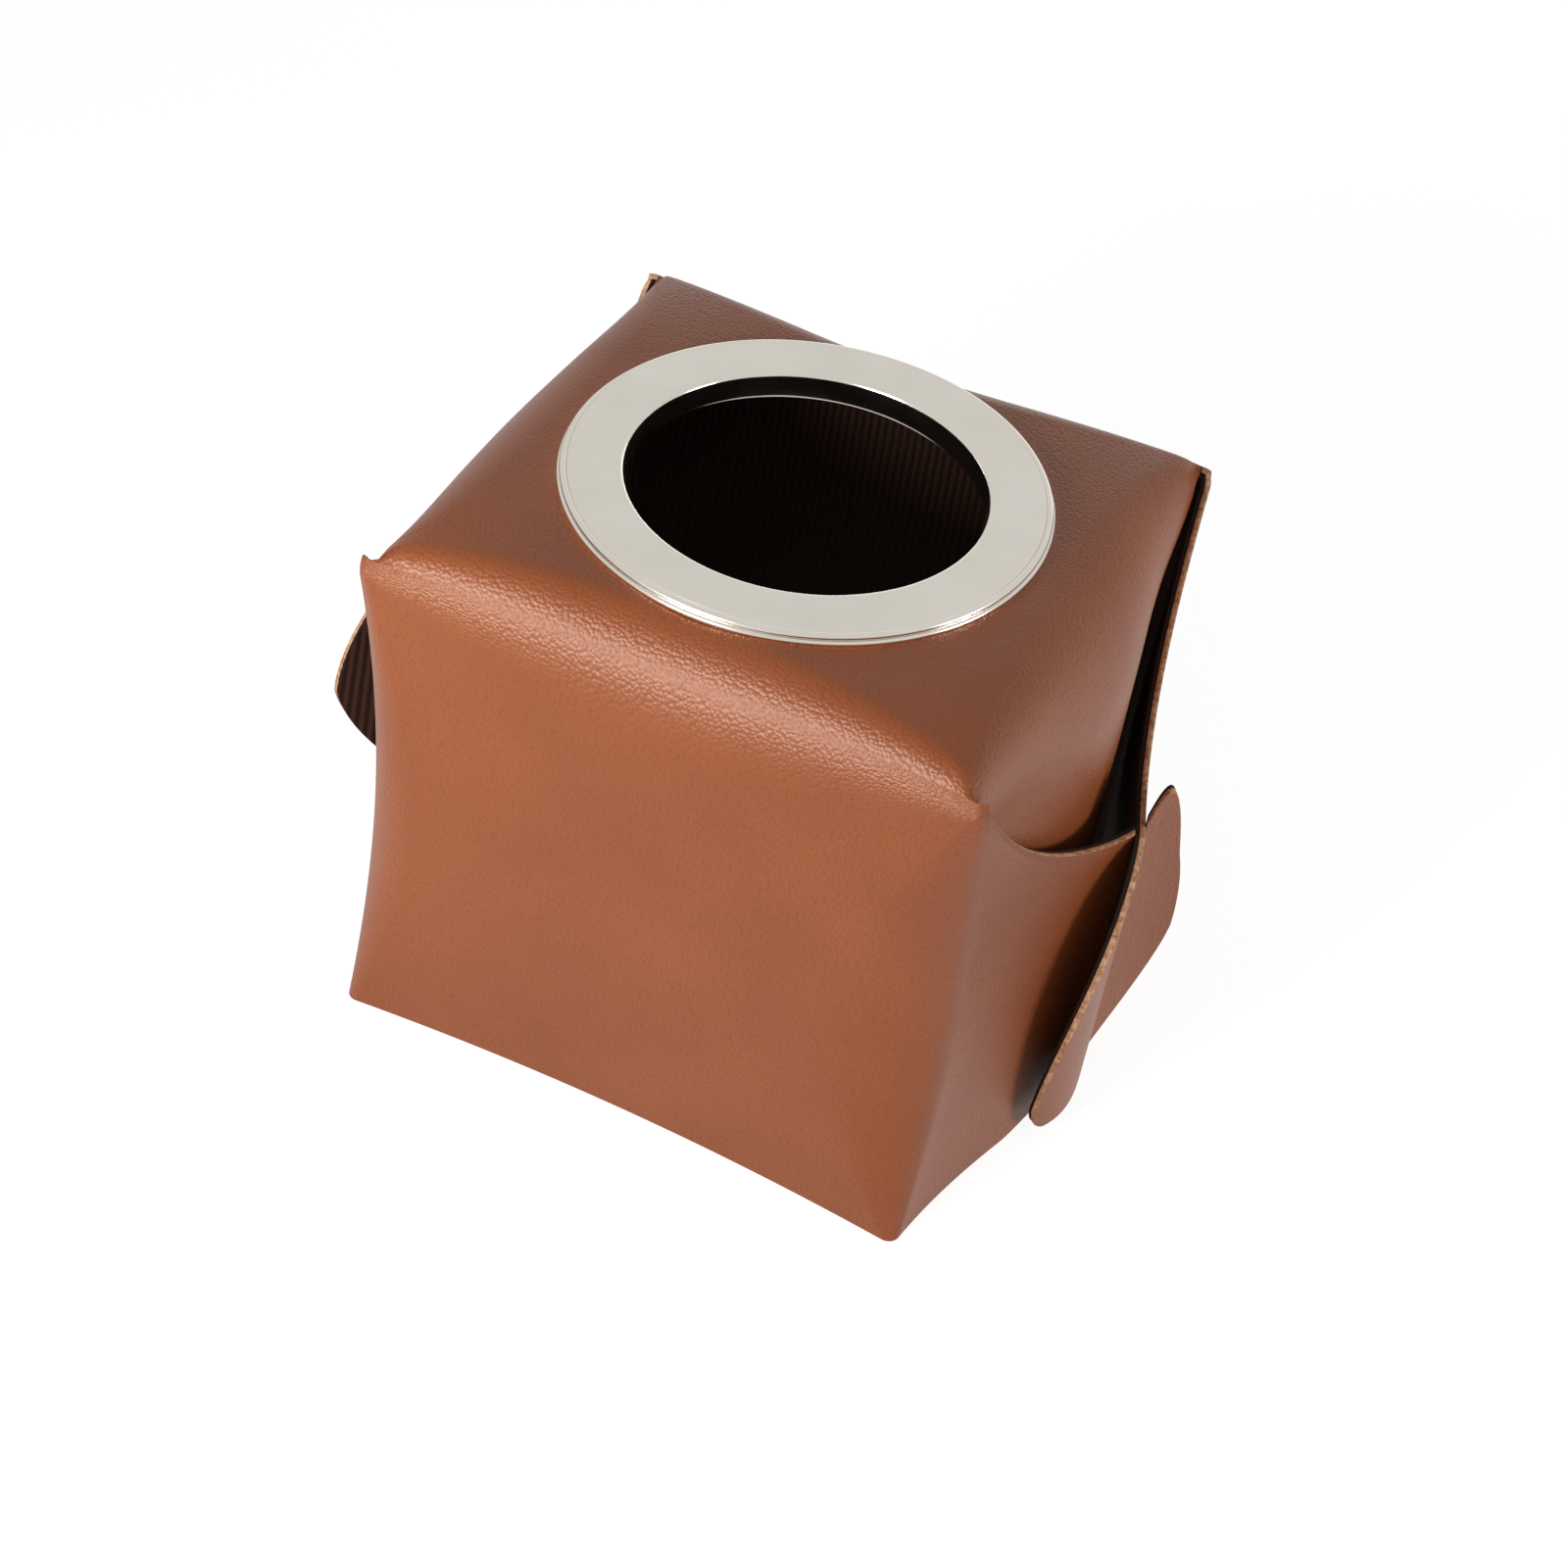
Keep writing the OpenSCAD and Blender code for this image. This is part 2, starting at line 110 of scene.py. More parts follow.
def heading(lean: float) -> complex:
    """Returns the direction in plan, x + iy, that leans outwards from straight back."""
    return complex(math.sin(lean), math.cos(lean))


def edges(face: tuple) -> list[tuple]:
    """Returns the pairs of neighbours round a face."""
    return list(zip(face, face[1:] + face[:1]))


def stand(name: str, data: bpy.types.ID) -> bpy.types.Object:
    """Puts a new object into the scene.

    Args:
        name: Its name.
        data: The mesh, lamp or camera that it holds.

    Returns:
        The object.
    """
    obj = bpy.data.objects.new(name, data)
    bpy.context.scene.collection.objects.link(obj)
    return obj


@dataclass(frozen=True)
class CoverSizes:
    """Sizes of the cover, in millimetres, and the angles of its folds, in degrees."""

    width: float = 134.0
    depth: float = 125.0
    corner_height: float = 124.0
    crown_rise: float = 5.0
    side_bulge: float = 16.4
    leather_t: float = 1.2
    lining_t: float = 0.8
    corner_bend_r: float = 3.0
    upright_bend_r: float = 15.0
    soft_bend_reach: float = 26.0
    roll_reach: float = 15.0
    roll_drop: float = 27.0
    side_roll_reach: float = 19.0
    side_roll_drop: float = 30.0
    side_corner_r: float = 2.6
    fuller_power: float = 1.5
    fuller_fall: float = 25.0
    hem_inset: float = 3.5
    crossing_height: float = 78.0
    lock_height: float = 45.0
    slit_overlap: float = 0.8
    slit_row_foot: float = 12.5
    slit_slack: float = 0.35
    upper_reach: float = 17.6
    upper_height: float = 42.0
    ear_rise: float = 9.0
    ear_reach: float = 14.0
    lower_reach: float = 23.0
    lower_height: float = 12.0
    toe_height: float = 3.5
    heel_rise: float = 9.0
    toe_corner_r: float = 5.0
    skirt_reach: float = 21.0
    flap_line_height: float = 94.0
    flap_half_width: float = 48.0
    flap_taper: float = 9.0
    flap_length: float = 44.0
    flap_corner_r: float = 10.0
    flap_corner_share: float = 0.9
    flap_bulge: float = 8.0
    flap_clearance: float = 1.1
    ring_margin: float = 12.5
    flange_width: float = 13.5
    ring_metal_t: float = 0.9
    flange_height: float = 2.6
    rim_edge_r: float = 2.2
    mouth_edge_r: float = 1.2
    backing_inset: float = 5.5
    backing_t: float = 1.0
    lip_width: float = 2.4
    collar_clearance: float = 0.3
    upper_start_lean: float = 7.0
    lower_start_lean: float = 16.0
    cross_lean: float = 20.0
    upper_turn: float = 12.0
    lower_turn: float = -61.0
    lower_top_turn: float = -16.0
    skirt_power: float = 1.45
    heel_power: float = 4.0
    half_fold: float = 45.0
    flat_run_share: float = 0.8
    upright_share: float = 0.64
    wing_fold_share: float = 0.25
    leaf_flare: float = 6.0
    leaf_flare_power: float = 1.2
    leaf_flare_foot: float = 2.2
    leaf_flare_height: float = 50.0
    flat_top_share: float = 0.31
    bulge_power: float = 3.0
    edge_power: float = 0.6
    strip_run: float = 5.0
    seam_run: float = 7.0
    step_in: float = 3.4
    step_end: float = 1.5
    step_out: float = 5.0
    tab_end_share: float = 0.997
    tab_end_power: float = 1.6
    tab_flex_run: float = 5.5
    flap_flex_above: float = 4.0
    flap_flex_below: float = 5.0

    @property
    def half_width(self) -> float:
        """Returns half of the width over the folds."""
        return self.width / 2

    @property
    def half_depth(self) -> float:
        """Returns half of the depth over the folds."""
        return self.depth / 2

    @property
    def sheet_t(self) -> float:
        """Returns the thickness of leather and lining together."""
        return self.leather_t + self.lining_t

    @property
    def top_height(self) -> float:
        """Returns the height of the middle of the top."""
        return self.corner_height + self.crown_rise

    @property
    def ring_r(self) -> float:
        """Returns the outer radius of the ring."""
        return min(self.half_width, self.half_depth) - self.ring_margin

    @property
    def opening_r(self) -> float:
        """Returns the radius of the opening."""
        return self.ring_r - self.flange_width

    @property
    def collar_r(self) -> float:
        """Returns the outer radius of the ring's collar."""
        return self.opening_r + self.ring_metal_t

    @property
    def hole_r(self) -> float:
        """Returns the radius of the hole in the sheet and in the backing ring."""
        return self.collar_r + self.collar_clearance


class CoverShape:
    """The folded sheet as a surface: its points at any depth below the leather's face."""

    def __init__(self, sizes: CoverSizes) -> None:
        """Keeps the sizes that every point is worked out from."""
        self.s = sizes

    def plate(self, u: float, v: float) -> float:
        """Returns the top's height before it rolls over, at shares of half width and depth."""
        fall = past(u * v, self.s.flat_top_share)
        return self.s.corner_height + self.s.crown_rise * (1 - fall * fall)

    def roll(self, u: float) -> Place:
        """Returns the reach and drop of the front and back rolls at a share of the width."""
        s, m = self.s, middle(u)
        return mix(s.corner_bend_r, s.roll_reach, m), mix(s.corner_bend_r, s.roll_drop, m)

    def side_roll(self, v: float) -> Place:
        """Returns the reach and drop of the side rolls at a share of the depth."""
        s, m = self.s, middle(v)
        return mix(s.side_corner_r, s.side_roll_reach, m), mix(s.side_corner_r, s.side_roll_drop, m)

    @staticmethod
    def quarter(reach: float, drop: float) -> float:
        """Returns the length of a quarter of an ellipse, near enough to lay out rows."""
        return math.pi / 4 * (reach + drop)

    def side_x(self, v: float) -> float:
        """Gives how far out a side flap stands.

        Args:
            v: Share of half the depth.

        Returns:
            The distance from the middle.
        """
        s = self.s
        start = s.half_width - s.sheet_t - s.flap_clearance
        return start + s.flap_bulge * middle(v) ** s.bulge_power

    def upright(self, h: float, soft: bool) -> Place:
        """Gives how far an upright fold reaches along front and side.

        Args:
            h: Share of the fold's height.
            soft: Whether it is one of the softer folds.

        Returns:
            Both reaches.
        """
        s, m = self.s, middle(2 * min(1.0, h) - 1)
        front = s.soft_bend_reach if soft else s.upright_bend_r
        return mix(s.corner_bend_r, front, m), mix(s.corner_bend_r, s.upright_bend_r, m)

    def front_point(self, across: float, up: float, depth: float) -> Point:
        """Gives a point of the front panel, whose right fold is the softer one.

        Args:
            across: Place from the left fold, at -1, to the right fold, at 1.
            up: Place from the hem, at 0, to the middle of the roll, at 1.
            depth: Depth below the leather's face.

        Returns:
            The point.
        """
        s = self.s
        turn = math.radians(s.half_fold * past(abs(across), s.flat_run_share))
        tilt = math.radians(s.half_fold * past(up, s.upright_share))
        fold = self.upright(up / s.upright_share, across > 0)
        flat = min(1.0, abs(across) / s.flat_run_share) * (s.half_width - fold[0])
        x = flat + (fold[0] - depth) * math.sin(turn)
        u = x / s.half_width
        radii = self.roll(u)
        bow = s.hem_inset * middle(u) * (1 - up) ** 2
        y = (-s.half_depth + depth + bow + (fold[1] - depth) * (1 - math.cos(turn))
             + (radii[0] - depth) * (1 - math.cos(tilt)))
        rise = min(1.0, up / s.upright_share) * (self.plate(u, 1) - radii[1])
        return math.copysign(x, across), y, rise + (radii[1] - depth) * math.sin(tilt)

    def panel_point(self, side: int, across: float, up: float, depth: float) -> Point:
        """Returns a point of the front panel, or of the back one, which is its half turn."""
        x, y, z = self.front_point(-side * across, up, depth)
        return -side * x, -side * y, z

    def top_point(self, run_x: float, run_y: float, depth: float) -> Point:
        """Gives a point of the top from its place on the sheet before the rolls are made.

        Args:
            run_x: Place towards the right.
            run_y: Place towards the back.
            depth: Depth below the leather's face.

        Returns:
            The point. The sides are a little fuller near the corners than a flap hangs.
        """
        s = self.s
        u = min(1.0, abs(run_x) / s.half_width)
        v = min(1.0, abs(run_y) / s.half_depth)
        front, side = self.roll(u), self.side_roll(v)
        x_flat, y_flat = self.side_x(v) - side[0], s.half_depth - front[0]
        x_over, y_over = max(0.0, abs(run_x) - x_flat), max(0.0, abs(run_y) - y_flat)
        x_turn = math.pi / 2 * min(1.0, x_over / self.quarter(*side))
        y_turn = math.pi / 2 * min(1.0, y_over / self.quarter(*front))
        hang = max(0.0, x_over - self.quarter(*side))
        fall = (1 - math.cos(x_turn)) * side[1] + hang
        fuller = (s.flap_bulge * (middle(v) ** s.fuller_power - middle(v) ** s.bulge_power)
                  * (1 - smooth(fall / s.fuller_fall)))
        x = min(abs(run_x), x_flat) + (side[0] - depth) * math.sin(x_turn) + fuller * u * u
        y = min(abs(run_y), y_flat) + (front[0] - depth) * math.sin(y_turn)
        x_fall = (side[1] - depth) * (1 - math.cos(x_turn)) + hang
        y_fall = (front[1] - depth) * (1 - math.cos(y_turn))
        z = self.plate(u, v) - depth - x_fall - y_fall
        return math.copysign(x, run_x), math.copysign(y, run_y), z

    def flap_point(self, side: int, y: float, z: float, depth: float) -> Point:
        """Returns a point of a side flap, which hangs straight down."""
        return side * (self.side_x(abs(y) / self.s.half_depth) - depth), y, z

    def line_run(self, y: float) -> float:
        """Gives the place on the sheet of the line on which a flap flexes.

        Args:
            y: Place towards the back.

        Returns:
            The place towards the side.
        """
        v = min(1.0, abs(y) / self.s.half_depth)
        reach, drop = self.side_roll(v)
        return (self.side_x(v) - reach + self.quarter(reach, drop) + self.plate(1, v) - drop
                - self.s.flap_line_height)

    def ridge_run(self, across: float, side: int) -> Place:
        """Gives the place on the sheet of the middle of the front or back roll.

        Args:
            across: Place from the left fold, at -1, to the right fold, at 1.
            side: The front with -1, the back with 1.

        Returns:
            The distances to the right and to the back.
        """
        x = across / self.s.flat_run_share * (self.s.half_width - self.s.corner_bend_r)
        radii = self.roll(abs(x) / self.s.half_width)
        return x, side * (self.s.half_depth - radii[0] + self.quarter(*radii) / 2)

    def strip_half(self, share: float) -> float:
        """Gives half the width of the strip between the top and the line of a flap.

        Args:
            share: Share of the way down the strip.

        Returns:
            Half the width.
        """
        s = self.s
        start, end = s.half_width - s.corner_bend_r, self.line_run(s.flap_half_width)
        way = (end - s.strip_run * (1 - share) - start) / (end - start)
        return mix(s.half_depth - s.corner_bend_r / 2, s.flap_half_width, way ** s.edge_power)


class Body(Enum):
    """The bodies of the frame that the leather rides on."""

    COVER = "cover"
    FRONT_RIGHT = "front_right_tab"
    BACK_RIGHT = "back_right_tab"
    BACK_LEFT = "back_left_tab"
    FRONT_LEFT = "front_left_tab"
    RIGHT_FLAP = "right_flap"
    LEFT_FLAP = "left_flap"


class Layer(Enum):
    """The two layers of the sheet."""

    LEATHER = "leather"
    LINING = "lining"


@dataclass
class Sheet:
    """The whole sheet as points with names, and faces that each belong to one body.

    The depths are those of the leather's face, of its back and of the lining's face.
    """

    depths: Point
    points: dict[Key, tuple[Point, ...]] = field(default_factory=dict)
    places: dict[Key, Place] = field(default_factory=dict)
    faces: list[tuple[tuple[Key, ...], Body]] = field(default_factory=list)

    def lay(self, key: Key, at: Callable[[float], Point], place: Place) -> Key:
        """Lays one point of the sheet, once.

        Args:
            key: The point's name.
            at: Gives the point at a depth.
            place: The point's place on the unfolded sheet.

        Returns:
            The key.
        """
        if key not in self.points:
            self.points[key] = tuple(at(d) for d in self.depths)
            self.places[key] = place
        return key

    def cover(self, keys: Sequence[Sequence[Key]], body: Body, turned: bool,
              looped: bool = False, gap: Callable[[int, int], bool] | None = None) -> None:
        """Covers a grid of points with faces.

        Args:
            keys: Rows of names.
            body: The body that the faces belong to.
            turned: Whether the faces are wound the other way round.
            looped: Whether the last column joins the first.
            gap: Says whether the cell at a row and column is left open.
        """
        columns = len(keys[0])
        for r in range(len(keys) - 1):
            for c in range(columns if looped else columns - 1):
                if gap and gap(r, c):
                    continue
                d = (c + 1) % columns
                face = (keys[r][c], keys[r][d], keys[r + 1][d], keys[r + 1][c])
                seen = tuple(dict.fromkeys(reversed(face) if turned else face))
                if len(seen) > 2:
                    self.faces.append((seen, body))


class Corner:
    """A wing and the tab at its end, whose points are worked out as the front right one stands.

    A distance beyond the crossing is below 0 on the wing, a way is a share of the run from the
    middle of the fold to the crossing, and a place in plan is the complex number x + iy.
    """

    FOLD_STEPS, WING_STEPS, TAB_STEPS = 8, 24, 22
    SEAM_STEPS, SLIT_STEPS = 5, 3

    def __init__(self, shape: CoverShape, right: bool, front: bool,
                 rows: Sequence[float]) -> None:
        """Works out which row the slit runs along.

        Args:
            shape: The cover's surface.
            right: Whether it is on the right.
            front: Whether it starts at the front.
            rows: The places of the sheet's rows up the panel.
        """
        s = shape.s
        self.shape, self.s, self.rows = shape, s, rows
        self.sx, self.side = (1 if right else -1), (-1 if front else 1)
        self.upper = right == front
        self.crossing = complex(s.half_width + s.side_bulge, 0)
        self.body = Body(f"{'front' if front else 'back'}_{'right' if right else 'left'}_tab")
        self.reach = s.upper_reach if self.upper else s.lower_reach
        self.flare = s.leaf_flare if self.upper and not front else 0.0
        self.run = self.path(1.0, s.lock_height)[2]
        full = self.fold_point(1, 0)[2]
        self.rises = [self.fold_point(q, 0)[2] / full for q in rows]
        self.slit = s.lock_height + (-s.slit_overlap if self.upper else s.slit_overlap)
        misses = [abs(mix(s.slit_row_foot, s.crossing_height, q) - self.slit) for q in self.rises]
        self.cut = misses.index(min(misses))

    def path(self, way: float, height: float) -> tuple[complex, complex, float]:
        """Gives the plan of the wing.

        Args:
            way: Share of the way to the crossing.
            height: Height of the point.

        Returns:
            The place, the direction and the length of the run from the fold to the crossing.
        """
        s = self.s
        reach = self.shape.upright(height / (s.corner_height - s.corner_bend_r), self.upper)
        centre = complex(s.half_width - reach[0], reach[1] - s.half_depth)
        lean = math.radians(s.upper_start_lean if self.upper else s.lower_start_lean)
        last = math.atan2(reach[0], reach[1] * math.tan(lean))
        fold_end = centre + complex(reach[0] * math.sin(last), -reach[1] * math.cos(last))
        run = abs(self.crossing - fold_end)
        if way <= s.wing_fold_share:
            turn = mix(math.radians(s.half_fold), last, way / s.wing_fold_share)
            place = centre + complex(reach[0] * math.sin(turn), -reach[1] * math.cos(turn))
            slope = complex(reach[0] * math.cos(turn), reach[1] * math.sin(turn))
        else:
            t = past(way, s.wing_fold_share)
            t2, t3 = t * t, t * t * t
            posts = (fold_end, run * heading(lean),
                     self.crossing, run * heading(math.radians(s.cross_lean)))
            shares = (2 * t3 - 3 * t2 + 1, t3 - 2 * t2 + t, 3 * t2 - 2 * t3, t3 - t2)
            rates = (6 * t2 - 6 * t, 3 * t2 - 4 * t + 1, 6 * t - 6 * t2, 3 * t2 - 2 * t)
            place, slope = (sum(w * post for w, post in zip(weights, posts))
                            for weights in (shares, rates))
        return place, slope / abs(slope), run

    def place(self, way: float, height: float, depth: float) -> complex:
        """Returns the wing's place in plan at a depth below the leather's face."""
        place, slope, _ = self.path(way, height)
        return place + depth * 1j * slope

    def fold_point(self, up: float, depth: float) -> Point:
        """Returns the panel's last point before the wing."""
        x, y, z = self.shape.front_point(1.0 if self.upper else -1.0, up, depth)
        return abs(x), y, z

    def way(self, beyond: float) -> float:
        """Returns the share of the way at a distance beyond the crossing."""
        return 1 + beyond / self.run * (1 - self.s.wing_fold_share)

    def edges(self, beyond: float) -> Place:
        """Gives the lower edge and the scooped upper edge of the wing, or those of the tab.

        Args:
            beyond: Distance beyond the crossing.

        Returns:
            The heights of both edges.
        """
        s, reach = self.s, self.reach
        run = min(1.0, max(0.0, beyond + s.skirt_reach) / (s.skirt_reach + s.upper_reach))
        skirt = s.upper_height * (1 - (1 - run ** s.skirt_power) ** (1 / s.skirt_power))
        if beyond <= 0:
            high, start = s.corner_height, s.corner_height - s.corner_bend_r / 3
            for _ in range(2):
                behind = self.path(self.way(beyond), high)[0].imag + s.half_depth
                high = mix(s.crossing_height, start, (1 - behind / s.half_depth) ** 2)
            return skirt, high
        beyond = min(beyond, reach)
        if self.upper:
            top = mix(s.upper_height, s.crossing_height, arch(beyond / reach))
            if beyond < s.ear_reach:
                top += s.ear_rise * math.sin(math.pi * beyond / s.ear_reach)
            return skirt, top
        toe = arch(max(0.0, beyond - reach + s.toe_corner_r) / s.toe_corner_r)
        low = (s.toe_height + s.heel_rise * (1 - beyond / reach) ** s.heel_power
               + (s.lower_height - s.toe_height) * (1 - toe))
        return low, mix(s.lower_height, s.crossing_height, arch(beyond / reach))

    def wing_columns(self) -> list[float]:
        """Gives the columns of the wing before its seam.

        Returns:
            Distances beyond the crossing, all of them below 0.
        """
        left = 1 - self.s.wing_fold_share
        folds = spread(0, self.s.wing_fold_share, self.FOLD_STEPS)[1:]
        return ([-self.run * (1 - w) / left for w in folds]
                + spread(-self.run, -self.s.seam_run, self.WING_STEPS)[1:-1])

    def tab_columns(self) -> list[Place]:
        """Gives the columns of the tab, on the leather's face and at full depth.

        Returns:
            Pairs of distances beyond the crossing. The second leans with the sheet that crosses.
        """
        s = self.s
        cross = math.radians(2 * s.cross_lean)
        lean = s.sheet_t / math.tan(cross)
        left, right = -s.sheet_t / math.sin(cross) - s.slit_slack, s.slit_slack
        columns = [(b, b + lean * (b + s.seam_run) / (left + s.seam_run))
                   for b in spread(-s.seam_run, left, self.SEAM_STEPS)]
        columns += [(b, b + lean) for b in spread(left, right, self.SLIT_STEPS)[1:]]
        last = columns[-1]
        for t in spread(1, 0, self.TAB_STEPS)[1:]:
            end = s.tab_end_share * (1 - t ** s.tab_end_power)
            columns.append((mix(last[0], self.reach, end), mix(last[1], self.reach, end)))
        return columns

    def height(self, beyond: float, r: int) -> float:
        """Gives the height of a point, on a row that is level along the slit.

        Args:
            beyond: Distance beyond the crossing.
            r: Row.

        Returns:
            The height.
        """
        s, rise, level = self.s, self.rises[r], self.rises[self.cut]
        low, high = self.edges(beyond)
        if r <= self.cut:
            stepped = mix(low, self.slit, rise / level)
        else:
            stepped = mix(self.slit, high, (rise - level) / (1 - level))
        ramp = (smooth((beyond + s.seam_run) / s.step_in)
                * (1 - smooth((beyond - s.step_end) / s.step_out)))
        return mix(mix(low, high, rise), stepped, ramp)

    def plan(self, beyond: float, r: int, z: float, depth: float) -> complex:
        """Gives a place in plan, which on the tab lies on an arc that starts along the wing.

        Args:
            beyond: Distance beyond the crossing.
            r: Row.
            z: Height.
            depth: Depth below the leather's face.

        Returns:
            The place. What the panel's end differs by from the wing's plan fades out, and the
            upper tab on the left stands out further towards its foot.
        """
        s = self.s
        if beyond <= 0:
            way = self.way(beyond)
            place, fade = self.place(way, z, depth), max(0.0, 1 - way / s.wing_fold_share)
            if fade:
                fold = self.fold_point(self.rows[r], depth)
                place += fade * (complex(*fold[:2]) - self.place(0.0, z, depth))
            return place
        share = min(1.0, beyond / self.reach)
        turn = mix(s.lower_turn, s.lower_top_turn, z / s.crossing_height)
        turn = s.upper_turn if self.upper else turn
        start = heading(math.radians(s.cross_lean))
        end = heading(math.radians(s.cross_lean + turn * share))
        flare = (self.flare * share ** s.leaf_flare_power
                 * (s.leaf_flare_foot - z / s.leaf_flare_height))
        arc_r = self.reach / math.radians(turn)
        return self.crossing + flare + 1j * (arc_r * (end - start) + depth * end)

    def point(self, face: float, deep: float, r: int, depth: float) -> Point:
        """Gives a point of the wing or of the tab, at its own corner.

        Args:
            face: Distance beyond the crossing on the leather's face.
            deep: The same at full depth.
            r: Row.
            depth: Depth below the leather's face.

        Returns:
            The point.
        """
        z = self.height(face, r)
        plan = self.plan(mix(face, deep, depth / self.s.sheet_t), r, z, depth)
        return self.sx * plan.real, -self.side * plan.imag, z

    def in_slit(self, r: int, c: int) -> bool:
        """Returns whether a cell of the tab lies in its slit, which is left open."""
        across = self.SEAM_STEPS <= c < self.SEAM_STEPS + self.SLIT_STEPS
        return across and (r >= self.cut if self.upper else r < self.cut)


class SheetLayout:
    """Lays out the panels, wings, tabs and flaps of the sheet from the cover's shape."""

    FOLD_STEPS, FLAT_STEPS = 8, 48
    UPRIGHT_STEPS, ROLL_STEPS = 30, 22
    TOP_STEPS, EDGE_STEPS = 34, 12
    STRIP_STEPS, FLAP_STEPS = 5, 44
    FLAP_ROWS = (*(k / 20 for k in range(1, 18)), 0.89, 0.93, 0.965, 0.99, 1.0)

    def __init__(self, shape: CoverShape) -> None:
        """Starts an empty sheet.

        Args:
            shape: The cover's surface.
        """
        s = shape.s
        self.shape, self.s, self.sheet = shape, s, Sheet((0.0, s.leather_t, s.sheet_t))
        fold = spread(s.flat_run_share, 1, self.FOLD_STEPS)[1:]
        flat = spread(-s.flat_run_share, s.flat_run_share, self.FLAT_STEPS)
        self.columns = [-p for p in reversed(fold)] + flat + fold
        self.rows = (spread(0, s.upright_share, self.UPRIGHT_STEPS)[:-1]
                     + spread(s.upright_share, 1, self.ROLL_STEPS))
        self.flat_columns = range(len(fold), len(fold) + len(flat))
        self.plain_rise = s.corner_height - s.roll_drop
        self.roll_rise = shape.quarter(*shape.roll(0)) / 2

    def panel_place(self, side: int, across: float, up: float) -> Place:
        """Gives the place of a panel's point on the unfolded sheet.

        Args:
            side: -1 for the front and 1 for the back.
            across: Place from the left fold, at -1, to the right fold, at 1.
            up: Place from the hem, at 0, to the middle of the roll, at 1.

        Returns:
            The distances to the right and to the back.
        """
        s, shape = self.s, self.shape
        reach = shape.upright(up / s.upright_share, -side * across > 0)
        out = (min(1.0, abs(across) / s.flat_run_share) * (s.half_width - reach[0])
               + past(abs(across), s.flat_run_share) * shape.quarter(*reach) / 2)
        rise = (self.plain_rise * min(1.0, up / s.upright_share)
                + self.roll_rise * past(up, s.upright_share))
        run = shape.ridge_run(max(-s.flat_run_share, min(s.flat_run_share, across)), 1)[1]
        return math.copysign(out, across), side * (run + self.plain_rise + self.roll_rise - rise)

    def wing_flat(self, corner: Corner, r: int, face: float) -> Place:
        """Gives the place of a wing's point on the unfolded sheet.

        Args:
            corner: The wing and its tab.
            r: Row.
            face: Distance beyond the crossing.

        Returns:
            The distances to the right and to the back.
        """
        s, shape = self.s, self.shape
        x, y = self.panel_place(corner.side, 1, self.rows[r])
        fade = smooth(corner.way(face))
        plain = (shape.ridge_run(s.flat_run_share, 1)[1] + self.roll_rise + self.plain_rise
                 - corner.height(face, r))
        length = corner.run / (1 - s.wing_fold_share) + face
        return (corner.sx * (mix(x, s.half_width, fade) + length),
                mix(y, corner.side * plain, fade))

    def lay_panel(self, side: int) -> None:
        """Lays the front or the back panel.

        Args:
            side: The front with -1, the back with 1.
        """
        keys = [[self.sheet.lay(("panel", side, r, c),
                                partial(self.shape.panel_point, side, across, up),
                                self.panel_place(side, across, up))
                 for c, across in enumerate(self.columns)] for r, up in enumerate(self.rows)]
        self.sheet.cover(keys, Body.COVER, turned=side > 0)

    def edge_loop(self) -> list[tuple[Key | None, Place]]:
        """Gives the edge of the top, round from the left end of the front roll.

        Returns:
            The name of each point that a panel has laid, or none, and the point's place.
        """
        s, shape, last = self.s, self.shape, len(self.rows) - 1
        half = shape.strip_half(0)
        start = (s.half_width - s.corner_bend_r, -s.half_depth + s.corner_bend_r / 2)
        end = (shape.line_run(half) - s.strip_run, -half)
        edge = [(mix(start[0], end[0], t), mix(start[1], end[1], t ** s.edge_power))
                for t in spread(0, 1, self.EDGE_STEPS)[1:-1]]
        line = [(shape.line_run(t * half) - s.strip_run, t * half)
                for t in spread(-1, 1, self.FLAP_STEPS)]
        right = edge + line + [(x, -y) for x, y in reversed(edge)]
        loop: list[tuple[Key | None, Place]] = []
        for side in (-1, 1):
            loop += [(("panel", side, last, c), shape.ridge_run(self.columns[c], side))
                     for c in self.flat_columns[::-side]]
            loop += [(None, (-side * x, -side * y)) for x, y in right]
        return loop

    def lay_top(self) -> list[Key]:
        """Lays the top, from the hole out to the rolls and to the strips of the flaps.

        Returns:
            The names of the points on its edge.
        """
        loop, keys = self.edge_loop(), []
        for r, share in enumerate(spread(0, 1, self.TOP_STEPS)):
            row = []
            for c, (known, rim) in enumerate(loop):
                if share == 1 and known:
                    row.append(known)
                    continue
                size = math.hypot(*rim)
                run = tuple(mix(self.s.hole_r * p / size, p, share) for p in rim)
                row.append(self.sheet.lay(("top", r, c), partial(self.shape.top_point, *run), run))
            keys.append(row)
        self.sheet.cover(keys, Body.COVER, turned=True, looped=True)
        return keys[-1]

